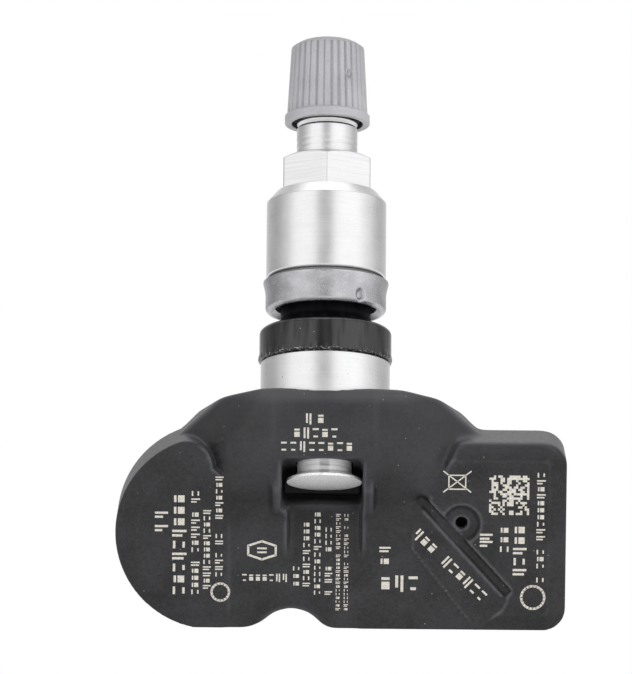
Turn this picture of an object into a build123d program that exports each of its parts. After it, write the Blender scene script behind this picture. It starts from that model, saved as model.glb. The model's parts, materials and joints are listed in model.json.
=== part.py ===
"""Clamp-in tyre pressure sensor: a screwed alloy valve whose ball foot carries a moulded sensor housing.

Millimetres. +Z runs along the valve towards its cap, -Y is the printed side of the housing, and the
origin is on the valve axis, on the face of the rubber seal that the wheel rim is clamped against.
"""
import os
from math import atan, atan2, copysign, cos, degrees, radians, sin, sqrt, tan

from build123d import *

os.makedirs("parts", exist_ok=True)

# Clearances
thread_gap = 0.08
ball_gap = 0.08
slot_gap = 0.10
slot_ease = 0.20
press_gap = 0.02
rubber_gap = 0.05
pin_gap = 0.12
cover_gap = 0.08
cell_gap = 0.50

# Rubber seal between the valve's base and the rim
seal_proud = 0.18
seal_lip_proud = 0.33
seal_lip_height = 0.50
seal_height = 4.25
seal_edge = 0.50
rim_hole_neck_r = 5.65
seal_root_r = 6.20
seal_root_height = 1.20
seal_neck_height = 4.40
seal_tip_height = 1.00
seal_tip_r = 4.80

# Stem, with the ball base that the housing swivels on
stem_r = 3.85
stem_height = 34.90
stem_tip_chamfer = 0.60
relief_gap = 0.15
relief_height = 0.40
relief_depth = 0.22
base_r = 8.12
base_edge = 0.25
base_height = 3.75

# Foot that holds the housing on the ball
neck_r = 3.45
shank_r = 2.20
shank_length = 6.40
flare_gap = 0.80
flare_height = 0.70
foot_r = 4.70
foot_edge = 0.30
air_bore_r = 1.00
air_port_r = 0.55
air_port_rise = 0.95

# Clamping nut and the washer that it carries
rim_gap = 2.15
washer_r = 7.60
washer_lip_r = 7.90
washer_lip_height = 0.55
washer_height = 3.90
washer_round = 0.60
washer_recess_r = 6.90
washer_recess_depth = 2.40
washer_bore_r = 5.85
nut_seat_r = 7.00
nut_seat_height = 0.50
nut_edge = 0.20
nut_r = 7.55
nut_body_height = 9.75
shoulder_r = 6.35
shoulder_height = 1.40
hexagon_across_flats = 11.00
hexagon_height = 4.50
hexagon_top_r = 5.25
hexagon_chamfer_angle = 30.0
nut_relief_r = 5.95
nut_relief_depth = 3.15

# Screw cap with its flutes and gasket
cap_engagement = 8.20
cap_lip_r = 5.38
cap_lip_height = 1.10
cap_foot_r = 5.10
cap_head_r = 4.60
cap_height = 11.00
cap_round = 1.50
cap_mouth_chamfer = 0.40
flute_count = 28
flute_r = 0.30
gasket_r = 3.60
gasket_hole_r = 1.20
gasket_thickness = 0.90

# Valve core in the mouth of the stem
core_r = 2.55
core_length = 4.80
core_sink = 0.70
core_nose_r = 1.55
core_nose_length = 0.90
core_bore_r = 1.25
core_floor = 0.80
chamber_r = 2.05
chamber_length = 4.20
pin_r = 0.50
pin_sink = 0.30
collar_r = 1.00
collar_height = 0.40
collar_sink = 0.60
plunger_r = 1.45
plunger_height = 1.30
plunger_seal_height = 0.70
spring_wire_r = 0.13
spring_turns = 5

# Housing: u runs right, w runs up and out is square to the printed face, from the middle of the ball
housing_lean = 22.0
back_out = -4.00
floor_out = 6.50
plateau_out = 7.00
column_out = 9.30
column_left_u = -6.60
column_right_u = 6.30
column_foot_w = -11.00
column_end_w = -15.00
left_knee_u = -12.30
left_end_out = -0.30
right_knee_u = 13.80
right_end_out = -0.30
flank_out = 5.00
flank_end_out = 0.40
roof_foot_w = -8.60
roof_end_w = -13.20
shoulder_end_w = -10.20
neck_top_depth = 1.26
neck_top_w = 3.50
neck_edge = 1.00
wall_top_w = 1.60
left_wall_top_u = -11.30
left_wall_end_u = -18.40
left_wall_end_w = -5.70
right_wall_top_u = 12.60
right_wall_end_u = 19.40
socket_wall = 1.70
rim_relief_r = 9.30
rim_relief_depth = 0.95
ceiling_wall = 1.68
swing = 10.0
window_left_u = -5.30
window_right_u = 4.80
window_bottom_w = -13.80
window_back_out = -2.80
channel_left_u = -4.50
channel_right_u = 4.70
channel_end_w = -20.60

# Left lobe over the cell and right lobe over the pressure port
lobe_u = -13.80
lobe_w = -16.95
lobe_r = 12.30
lobe_edge_u = -11.50
lobe_corner_u = -13.90
lobe_corner_drop = 3.95
lobe_corner_fall = 2.00
lobe_corner_r = 3.20
lobe_bevel_width = 2.60
bevel_drop = 0.60
bottom_w = -29.00
right_u = 30.30
right_top_w = -5.20
corner_r = 2.80
right_bevel_width = 2.20
notch_u = -4.00
notch_top_w = -26.50
notch_r = 4.50
notch_left_round = 5.00
notch_right_round = 3.00
right_edge_top_u = 16.60
right_edge_knee_u = 14.50
right_edge_knee_w = -9.20
right_edge_step_u = 12.00
right_edge_step_w = -10.60
groove_start_u = 11.75
groove_start_w = -12.05
groove_end_u = 23.10
groove_end_w = -24.30
groove_width = 1.20
groove_depth = 0.50
pad_rise = 0.20
pad_left_u = 11.00
pad_top_w = -12.20
pad_left_w = -18.80
pad_right_u = 22.50
pad_right_w = -26.00
pad_low_u = 19.10
port_inset = 13.10
port_drop = 3.00
port_recess_r = 2.45
port_recess_depth = 0.80
port_floor_r = 1.85
port_r = 0.75

# Rooms inside the housing, and the cover behind them
cell_u = -14.30
cell_r = 8.00
cell_height = 3.20
cell_step = 0.50
room_left_u = 7.60
room_step_u = 18.30
room_step_w = -12.40
room_wall = 1.70
room_top_out = 4.40
bridge_left_u = -8.00
bridge_right_u = 8.40
bridge_low_w = -24.90
bridge_high_w = -15.20
bridge_top_out = 1.80
cell_room_clear = 0.15
cover_thickness = 1.40
cover_ledge = 0.60
stake_r = 0.90
stake_inset = 2.60

# Circuit board and what it carries
board_lift = 0.90
board_thickness = 1.00
board_margin = 0.35
foil = 0.15
tab_width = 3.00
tab_drop = 3.60
tab_foot = 1.50
insulator_r = 7.40
chip_width = 6.00
chip_depth = 5.00
chip_height = 1.20
lid_margin = 0.40
lid_height = 0.90
lid_wall = 0.30
lid_hole_r = 0.60
port_seal_r = 1.80
port_seal_bore_r = 0.90
filter_height = 0.25
coil_inset = 2.00
coil_length = 11.00
coil_size = 2.40
winding_length = 7.00
winding_depth = 0.50
coil_lift = 0.60
crystal_inset = 1.40
crystal_drop = 1.80
crystal_length = 3.20
crystal_width = 2.50
crystal_height = 0.80
radio_gap = 1.30
radio_drop = 1.90
radio_size = 3.50
radio_height = 0.85
antenna_inset = 1.00
antenna_span = 13.00
antenna_height = 4.20
antenna_band = 1.20
antenna_thickness = 0.30
capacitor_gap = 3.40
capacitor_pitch = 2.20
capacitor_count = 4
capacitor_length = 1.60
capacitor_width = 0.80
capacitor_height = 0.80
resistor_inset = 2.10
resistor_gap = 0.80
resistor_pitch = 1.80
resistor_count = 4
resistor_length = 1.20
resistor_width = 0.60
resistor_height = 0.40

# Heights that follow from the sizes above
seal_r = base_r + seal_proud
seal_lip_r = base_r + seal_lip_proud
base_top_z = -seal_height
pivot_z = base_top_z - base_height
ball_flat_z = pivot_z - sqrt(base_r**2 - neck_r**2)
ceiling_depth = base_r + ceiling_wall
ceiling_z = pivot_z - ceiling_depth
flare_z = ceiling_z - flare_gap
foot_z = flare_z - flare_height - foot_edge
shank_top_z = ball_flat_z + shank_length
washer_top_z = rim_gap + washer_height
nut_body_z = washer_top_z + nut_seat_height
nut_body_top_z = nut_body_z + nut_body_height
hexagon_z = nut_body_top_z + shoulder_height
hexagon_top_z = hexagon_z + hexagon_height
cap_z = stem_height - cap_engagement
relief_z = cap_z - relief_gap - relief_height
cap_top_z = cap_z + cap_height
gasket_z = stem_height + rubber_gap
cap_ceiling_z = gasket_z + gasket_thickness
core_top_z = stem_height - core_sink
core_bottom_z = core_top_z - core_length
core_seat_z = core_bottom_z + core_nose_length
chamber_z = core_bottom_z - chamber_length
pin_top_z = stem_height - pin_sink
collar_z = core_top_z - collar_sink - collar_height
core_floor_z = core_bottom_z + core_floor
plunger_seal_z = core_bottom_z - rubber_gap - plunger_seal_height
plunger_z = plunger_seal_z - plunger_height
neck_top_z = pivot_z - neck_top_depth
cup_r = base_r + ball_gap
socket_r = cup_r + socket_wall
cover_out = back_out + cover_thickness
board_back_out = cover_out + board_lift
board_out = board_back_out + board_thickness
cell_out = board_out + 2 * foil
cell_room_out = cell_out + cell_height + foil + cell_room_clear
cell_room_r = cell_r + cell_gap
room_right_u = right_u - room_wall
room_low_w = bottom_w + room_wall
room_high_w = right_top_w - room_wall
room_u = (room_left_u + room_right_u) / 2
room_w = (room_low_w + room_step_w) / 2
high_stake_u = room_step_u + stake_inset
high_stake_w = room_high_w - stake_inset
low_stake_u = room_left_u + stake_inset
low_stake_w = room_low_w + stake_inset
annex_u = (room_step_u + room_right_u) / 2
annex_w = (room_low_w + room_high_w) / 2
bridge_u = (bridge_left_u + bridge_right_u) / 2
bridge_w = (bridge_low_w + bridge_high_w) / 2
port_u = right_u - port_inset
port_w = room_step_w - port_drop
antenna_u = room_right_u - antenna_inset
coil_width = coil_size + 2 * winding_depth
coil_w = room_low_w + coil_inset + coil_width / 2
crystal_u = room_left_u + crystal_inset + crystal_length / 2
crystal_w = room_step_w - crystal_drop - crystal_width / 2
radio_u = antenna_u - radio_gap - radio_size / 2
radio_w = room_high_w - radio_drop - radio_size / 2
capacitor_u = antenna_u - capacitor_gap - capacitor_length / 2
resistor_row = (resistor_count - 1) * resistor_pitch + resistor_width
resistor_u = room_left_u + resistor_inset + resistor_row / 2
resistor_w = coil_w + coil_width / 2 + resistor_gap + resistor_length / 2
slot_shift = ceiling_depth * sin(radians(swing)) + slot_ease
lobe_corner_top_w = lobe_w + lobe_r - lobe_corner_drop
lobe_corner_w = lobe_corner_top_w - lobe_corner_fall
front_out = column_out + neck_edge
groove_angle = degrees(atan2(groove_end_w - groove_start_w, groove_end_u - groove_start_u))

# Working planes: the printed face through the ball's middle, and sections along and across it
printed = Plane(
    origin=(0, 0, pivot_z),
    x_dir=(1, 0, 0),
    z_dir=(0, -cos(radians(housing_lean)), -sin(radians(housing_lean))),
)
along = Plane(origin=printed.origin, x_dir=printed.y_dir, z_dir=printed.x_dir)
across = Plane(origin=printed.origin, x_dir=printed.x_dir, z_dir=-printed.y_dir)


def section(*points):
    """A closed outline of (radius, height) points beside the valve axis."""
    with BuildSketch(Plane.XZ) as outline:
        with BuildLine():
            Polyline(*points, close=True)
        make_face()
    return outline.sketch


def flank(top_u, end_u, end_w):
    """The plane that eases the dome's edge over the wall from (top_u, wall_top_w) to (end_u, end_w)."""
    start = printed.from_local_coords(Vector(top_u, wall_top_w, flank_out))
    fall = printed.from_local_coords(Vector(end_u, end_w, flank_end_out)) - start
    outward = printed.x_dir * copysign(wall_top_w - end_w, top_u) + printed.y_dir * abs(end_u - top_u)
    facing = fall.cross(outward.normalized() + printed.z_dir).cross(fall)
    return Plane(origin=start, x_dir=fall, z_dir=facing)


def oblong(u, w, out, width, depth):
    """A rectangle parallel to the printed face, that far out of it, with its middle at (u, w)."""
    with BuildSketch(printed.offset(out)) as outline:
        with Locations((u, w)):
            Rectangle(width, depth)
    return outline.sketch


def disc(u, w, out, radius):
    """A circle parallel to the printed face, that far out of it, with its middle at (u, w)."""
    with BuildSketch(printed.offset(out)) as outline:
        with Locations((u, w)):
            Circle(radius)
    return outline.sketch


def rooms(out, grow):
    """The shared outline of the rooms, that far out of the printed face and grown by a margin."""
    with BuildSketch(printed.offset(out)) as outline:
        with Locations((cell_u, lobe_w)):
            Circle(cell_room_r + grow)
        with Locations((bridge_u, bridge_w)):
            Rectangle(bridge_right_u - bridge_left_u, bridge_high_w - bridge_low_w + 2 * grow)
        with Locations((room_u, room_w)):
            Rectangle(room_right_u - room_left_u + 2 * grow, room_step_w - room_low_w + 2 * grow)
        with Locations((annex_u, annex_w)):
            Rectangle(room_right_u - room_step_u + 2 * grow, room_high_w - room_low_w + 2 * grow)
    return outline.sketch


def ceiling_w(out):
    """Height of the window's flat ceiling, square to the valve, that far out of the printed face."""
    return (out * sin(radians(housing_lean)) - ceiling_depth) / cos(radians(housing_lean))


def taper_angle(rise):
    """Angle in degrees of a side that comes in by rise for each millimetre of height."""
    return degrees(atan(rise))


def finish(piece, name):
    """Label a finished piece and write its file."""
    piece.part.label = name
    export_step(piece.part, f"parts/{name}.step")


# Turned stem: thread, flange face for the seal, and the ball below it
with BuildPart() as valve_stem:
    with BuildSketch(Plane.XZ):
        with BuildLine():
            half_turn = radians(45)
            ball_mid = (base_r * cos(half_turn), pivot_z - base_r * sin(half_turn))
            Polyline(
                (0, ball_flat_z),
                (0, stem_height),
                (stem_r - stem_tip_chamfer, stem_height),
                (stem_r, stem_height - stem_tip_chamfer),
                (stem_r, relief_z + relief_height),
                (stem_r - relief_depth, relief_z + relief_height - relief_depth / 2),
                (stem_r - relief_depth, relief_z + relief_depth / 2),
                (stem_r, relief_z),
                (stem_r, base_top_z),
                (base_r - base_edge, base_top_z),
                (base_r, base_top_z - base_edge),
                (base_r, pivot_z),
            )
            ThreePointArc((base_r, pivot_z), ball_mid, (neck_r, ball_flat_z))
            Line((neck_r, ball_flat_z), (0, ball_flat_z))
        make_face()
    revolve(axis=Axis.Z)
    revolve(
        section(
            (0, stem_height),
            (core_r + press_gap, stem_height),
            (core_r + press_gap, core_seat_z),
            (chamber_r, core_seat_z),
            (chamber_r, chamber_z),
            (air_bore_r, chamber_z - (chamber_r - air_bore_r)),
            (air_bore_r, shank_top_z),
            (shank_r + press_gap, shank_top_z),
            (shank_r + press_gap, ball_flat_z),
            (0, ball_flat_z),
        ),
        axis=Axis.Z,
        mode=Mode.SUBTRACT,
    )
finish(valve_stem, "valve_stem")

# Foot pressed up into the ball, with the air port that opens into the housing's window
with BuildPart() as valve_foot:
    revolve(
        section(
            (0, foot_z),
            (0, shank_top_z - press_gap),
            (shank_r, shank_top_z - press_gap),
            (shank_r, ball_flat_z),
            (neck_r, ball_flat_z),
            (neck_r, flare_z),
            (foot_r, flare_z - flare_height),
            (foot_r, foot_z),
        ),
        axis=Axis.Z,
    )
    revolve(
        section(
            (0, shank_top_z),
            (air_bore_r, shank_top_z),
            (air_bore_r, foot_z + air_port_rise),
            (0, foot_z + air_port_rise),
        ),
        axis=Axis.Z,
        mode=Mode.SUBTRACT,
    )
    with BuildSketch(Plane.YZ):
        with Locations((0, foot_z + air_port_rise + air_port_r)):
            Circle(air_port_r)
    extrude(amount=foot_r, both=True, mode=Mode.SUBTRACT)
finish(valve_foot, "valve_foot")

# Rubber seal: a flange under the rim and a neck in the rim's hole
with BuildPart() as rim_seal:
    seal_bore_r = stem_r + rubber_gap
    revolve(
        section(
            (seal_bore_r, -seal_height),
            (seal_lip_r, -seal_height),
            (seal_lip_r, -seal_height + seal_lip_height),
            (seal_r, -seal_height + 2 * seal_lip_height),
            (seal_r, -seal_edge),
            (seal_r - seal_edge, 0),
            (seal_root_r, 0),
            (rim_hole_neck_r, seal_root_height),
            (rim_hole_neck_r, seal_neck_height),
            (seal_tip_r, seal_neck_height + seal_tip_height),
            (seal_bore_r, seal_neck_height + seal_tip_height),
        ),
        axis=Axis.Z,
    )
finish(rim_seal, "rim_seal")

# Thrust washer between the nut and the outside of the rim
with BuildPart() as nut_washer:
    revolve(
        section(
            (washer_recess_r, rim_gap),
            (washer_r - washer_round, rim_gap),
            (washer_r, rim_gap + washer_round),
            (washer_r, washer_top_z - 2 * washer_lip_height),
            (washer_lip_r, washer_top_z - washer_lip_height),
            (washer_lip_r, washer_top_z),
            (washer_bore_r, washer_top_z),
            (washer_bore_r, rim_gap + washer_recess_depth),
            (washer_recess_r, rim_gap + washer_recess_depth),
        ),
        axis=Axis.Z,
    )
finish(nut_washer, "nut_washer")

# Clamping nut: a seat ring, a round body, a cone and the spanner hexagon with a corner to the front
with BuildPart() as valve_nut:
    with BuildSketch(Plane.XY.offset(hexagon_z)):
        RegularPolygon(hexagon_across_flats / 2, 6, major_radius=False, rotation=30)
    extrude(amount=hexagon_height)
    corner_drop = (shoulder_r - hexagon_top_r) * tan(radians(hexagon_chamfer_angle))
    revolve(
        section(
            (0, hexagon_z),
            (shoulder_r, hexagon_z),
            (shoulder_r, hexagon_top_z - corner_drop),
            (hexagon_top_r, hexagon_top_z),
            (0, hexagon_top_z),
        ),
        axis=Axis.Z,
        mode=Mode.INTERSECT,
    )
    revolve(
        section(
            (0, washer_top_z),
            (nut_seat_r, washer_top_z),
            (nut_seat_r, nut_body_z),
            (nut_r - nut_edge, nut_body_z),
            (nut_r, nut_body_z + nut_edge),
            (nut_r, nut_body_top_z),
            (shoulder_r, hexagon_z),
            (0, hexagon_z),
        ),
        axis=Axis.Z,
    )
    revolve(
        section(
            (0, washer_top_z),
            (nut_relief_r, washer_top_z),
            (nut_relief_r, washer_top_z + nut_relief_depth),
            (stem_r + thread_gap, washer_top_z + nut_relief_depth + nut_relief_r - stem_r),
            (stem_r + thread_gap, hexagon_top_z),
            (0, hexagon_top_z),
        ),
        axis=Axis.Z,
        mode=Mode.SUBTRACT,
    )
finish(valve_nut, "valve_nut")

# Screw cap: a lip, a fluted taper and a rounded head
with BuildPart() as valve_cap:
    taper = (cap_foot_r - cap_head_r) / (cap_height - cap_lip_height)
    revolve(
        section(
            (0, cap_z),
            (cap_lip_r, cap_z),
            (cap_lip_r, cap_z + cap_lip_height),
            (cap_foot_r, cap_z + cap_lip_height),
            (cap_head_r, cap_top_z),
            (0, cap_top_z),
        ),
        axis=Axis.Z,
    )
    fillet(valve_cap.edges().filter_by(GeomType.CIRCLE).sort_by(Axis.Z)[-1], radius=cap_round)
    flute_length = cap_height - cap_lip_height
    with PolarLocations((cap_foot_r + cap_head_r) / 2, flute_count):
        flute_z = cap_z + cap_lip_height + flute_length / 2
        with Locations(Location((0, 0, flute_z), (0, -taper_angle(taper), 0))):
            Cylinder(flute_r, flute_length, mode=Mode.SUBTRACT)
    revolve(
        section(
            (0, cap_z),
            (stem_r + thread_gap + cap_mouth_chamfer, cap_z),
            (stem_r + thread_gap, cap_z + cap_mouth_chamfer),
            (stem_r + thread_gap, cap_ceiling_z),
            (0, cap_ceiling_z),
        ),
        axis=Axis.Z,
        mode=Mode.SUBTRACT,
    )
finish(valve_cap, "valve_cap")

with BuildPart() as cap_gasket:
    revolve(
        section(
            (gasket_hole_r, gasket_z),
            (gasket_r, gasket_z),
            (gasket_r, cap_ceiling_z),
            (gasket_hole_r, cap_ceiling_z),
        ),
        axis=Axis.Z,
    )
finish(cap_gasket, "cap_gasket")

# Valve core: a screwed barrel, its packing ring, and the sprung pin with its plunger
with BuildPart() as core_barrel:
    guide_r = pin_r + pin_gap
    revolve(
        section(
            (guide_r, core_bottom_z),
            (core_nose_r, core_bottom_z),
            (core_nose_r, core_seat_z),
            (core_r, core_seat_z),
            (core_r, core_top_z),
            (core_bore_r, core_top_z),
            (core_bore_r, core_floor_z),
            (guide_r, core_floor_z),
        ),
        axis=Axis.Z,
    )
finish(core_barrel, "core_barrel")

with BuildPart() as core_gasket:
    revolve(
        section(
            (core_nose_r + press_gap, core_bottom_z + rubber_gap),
            (chamber_r - press_gap, core_bottom_z + rubber_gap),
            (chamber_r - press_gap, core_seat_z),
            (core_nose_r + press_gap, core_seat_z),
        ),
        axis=Axis.Z,
    )
finish(core_gasket, "core_gasket")

with BuildPart() as core_pin:
    revolve(
        section(
            (0, plunger_z),
            (pin_r, plunger_z),
            (pin_r, collar_z),
            (collar_r, collar_z),
            (collar_r, collar_z + collar_height),
            (pin_r, collar_z + collar_height),
            (pin_r, pin_top_z),
            (0, pin_top_z),
        ),
        axis=Axis.Z,
    )
finish(core_pin, "core_pin")

with BuildPart() as core_plunger:
    revolve(
        section(
            (pin_r + press_gap, plunger_z),
            (plunger_r, plunger_z),
            (plunger_r, plunger_seal_z),
            (pin_r + press_gap, plunger_seal_z),
        ),
        axis=Axis.Z,
    )
finish(core_plunger, "core_plunger")

with BuildPart() as plunger_seal:
    revolve(
        section(
            (pin_r + press_gap, plunger_seal_z),
            (plunger_r, plunger_seal_z),
            (plunger_r, plunger_seal_z + plunger_seal_height),
            (pin_r + press_gap, plunger_seal_z + plunger_seal_height),
        ),
        axis=Axis.Z,
    )
finish(plunger_seal, "plunger_seal")

# Spring between the barrel's floor and the pin's collar
with BuildPart() as core_spring:
    spring_r = (pin_r + core_bore_r) / 2
    spring_height = collar_z - core_floor_z - 2 * spring_wire_r - 2 * press_gap
    with BuildLine(Plane.XY.offset(core_floor_z + spring_wire_r + press_gap)) as coils:
        Helix(spring_height / spring_turns, spring_height, spring_r)
    with BuildSketch(Plane(origin=coils.line @ 0, z_dir=coils.line % 0)):
        Circle(spring_wire_r)
    sweep(path=coils.line, is_frenet=True)
finish(core_spring, "core_spring")

# Upper housing: a dome that falls from the middle column to the sides and the slab, cut square to the valve
with BuildPart() as neck:
    left_end_u = left_wall_end_u - room_wall
    right_end_u = right_wall_end_u + room_wall
    with BuildSketch(across.offset(-neck_top_w)):
        with BuildLine():
            Line((column_left_u, column_out), (column_right_u, column_out))
            Spline(
                (column_right_u, column_out),
                (right_knee_u, plateau_out),
                (right_end_u, right_end_out),
                tangents=((1, 0), (1, -1)),
            )
            Polyline(
                (right_end_u, right_end_out),
                (right_end_u, back_out),
                (left_end_u, back_out),
                (left_end_u, left_end_out),
            )
            Spline(
                (left_end_u, left_end_out),
                (left_knee_u, plateau_out),
                (column_left_u, column_out),
                tangents=((1, 1), (1, 0)),
            )
        make_face()
    extrude(amount=neck_top_w - roof_end_w)
    split(bisect_by=Plane.XY.offset(neck_top_z), keep=Keep.BOTTOM)
    neck_top = neck.faces().filter_by(Axis.Z).sort_by(Axis.Z)[-1]
    fillet(neck_top.edges().group_by(Axis.Y)[0], radius=neck_edge)
    with BuildSketch(printed.offset(back_out)):
        with BuildLine():
            Polyline(
                (left_wall_end_u, roof_end_w),
                (left_wall_end_u, left_wall_end_w),
                (left_wall_top_u, wall_top_w),
                (left_wall_top_u, neck_top_w),
                (right_wall_top_u, neck_top_w),
                (right_wall_top_u, wall_top_w),
                (right_wall_end_u, right_top_w),
                (right_wall_end_u, roof_end_w),
                close=True,
            )
        make_face()
    extrude(amount=front_out - back_out, mode=Mode.INTERSECT)
    split(bisect_by=flank(left_wall_top_u, left_wall_end_u, left_wall_end_w), keep=Keep.BOTTOM)
    split(bisect_by=flank(right_wall_top_u, right_wall_end_u, right_top_w), keep=Keep.BOTTOM)
    with BuildSketch(along.offset(left_wall_end_u)):
        with BuildLine():
            Polyline(
                (roof_foot_w, column_out),
                (roof_end_w, floor_out),
                (roof_end_w, front_out),
                (roof_foot_w, front_out),
                close=True,
            )
        make_face()
    extrude(amount=right_wall_end_u - left_wall_end_u, mode=Mode.SUBTRACT)
    with BuildSketch(along.offset(column_left_u)):
        with BuildLine():
            Polyline(
                (roof_foot_w, back_out),
                (roof_foot_w, column_out),
                (column_foot_w, column_out),
                (column_end_w, floor_out),
                (column_end_w, back_out),
                close=True,
            )
        make_face()
    extrude(amount=column_right_u - column_left_u)

# Half ball behind the printed face that walls in the socket
with BuildPart() as socket:
    with Locations((0, 0, pivot_z)):
        Sphere(socket_r)
    split(bisect_by=printed, keep=Keep.BOTTOM)
    split(bisect_by=Plane.XY.offset(neck_top_z), keep=Keep.BOTTOM)

# Round lobe over the cell, with a wide low bevel
with BuildPart() as left_lobe:
    with BuildSketch(printed.offset(back_out)) as lobe_outline:
        with Locations((lobe_u, lobe_w)):
            Circle(lobe_r)
        with BuildLine():
            Polyline(
                (lobe_edge_u, lobe_w - 2 * lobe_r),
                (lobe_edge_u, lobe_corner_w),
                (lobe_corner_u, lobe_corner_top_w),
                (lobe_corner_u, lobe_w + 2 * lobe_r),
                (lobe_u + 2 * lobe_r, lobe_w + 2 * lobe_r),
                (lobe_u + 2 * lobe_r, lobe_w - 2 * lobe_r),
                close=True,
            )
        make_face(mode=Mode.SUBTRACT)
        with Locations((lobe_u, bottom_w)):
            Rectangle(2 * lobe_r, lobe_r, align=(Align.CENTER, Align.MAX), mode=Mode.SUBTRACT)
        fillet(lobe_outline.vertices().sort_by(Axis.Y)[-1], radius=lobe_corner_r)
    extrude(amount=plateau_out - back_out)
    with BuildSketch(across.offset(-lobe_w)):
        with BuildLine():
            Polyline(
                (lobe_u, back_out),
                (lobe_u + lobe_r, back_out),
                (lobe_u + lobe_r, plateau_out - bevel_drop),
                (lobe_u + lobe_r - lobe_bevel_width, plateau_out),
                (lobe_u, plateau_out),
                close=True,
            )
        make_face()
    lobe_axis = Axis(printed.from_local_coords((lobe_u, lobe_w, 0)), printed.z_dir)
    revolve(axis=lobe_axis, mode=Mode.INTERSECT)

# Square lobe over the pressure port
with BuildPart() as right_lobe:
    with BuildSketch(printed.offset(back_out)) as square_outline:
        with BuildLine():
            Polyline(
                (right_edge_top_u, right_top_w),
                (right_u, right_top_w),
                (right_u, bottom_w),
                (pad_low_u, bottom_w),
                (pad_right_u, pad_right_w),
                (groove_end_u, groove_end_w),
                (groove_start_u, groove_start_w),
                (right_edge_step_u, right_edge_step_w),
                (right_edge_knee_u, right_edge_knee_w),
                close=True,
            )
        make_face()
        fillet(square_outline.vertices().group_by(Axis.X)[-1], radius=corner_r)
    extrude(amount=plateau_out - back_out)
    square_face = right_lobe.faces().sort_by(Axis(printed.origin, printed.z_dir))[-1]
    square_rim = square_face.edges().filter_by(GeomType.LINE).sort_by(Axis.X)[-1]
    chamfer(square_rim, length=right_bevel_width, length2=bevel_drop, reference=square_face)

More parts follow.
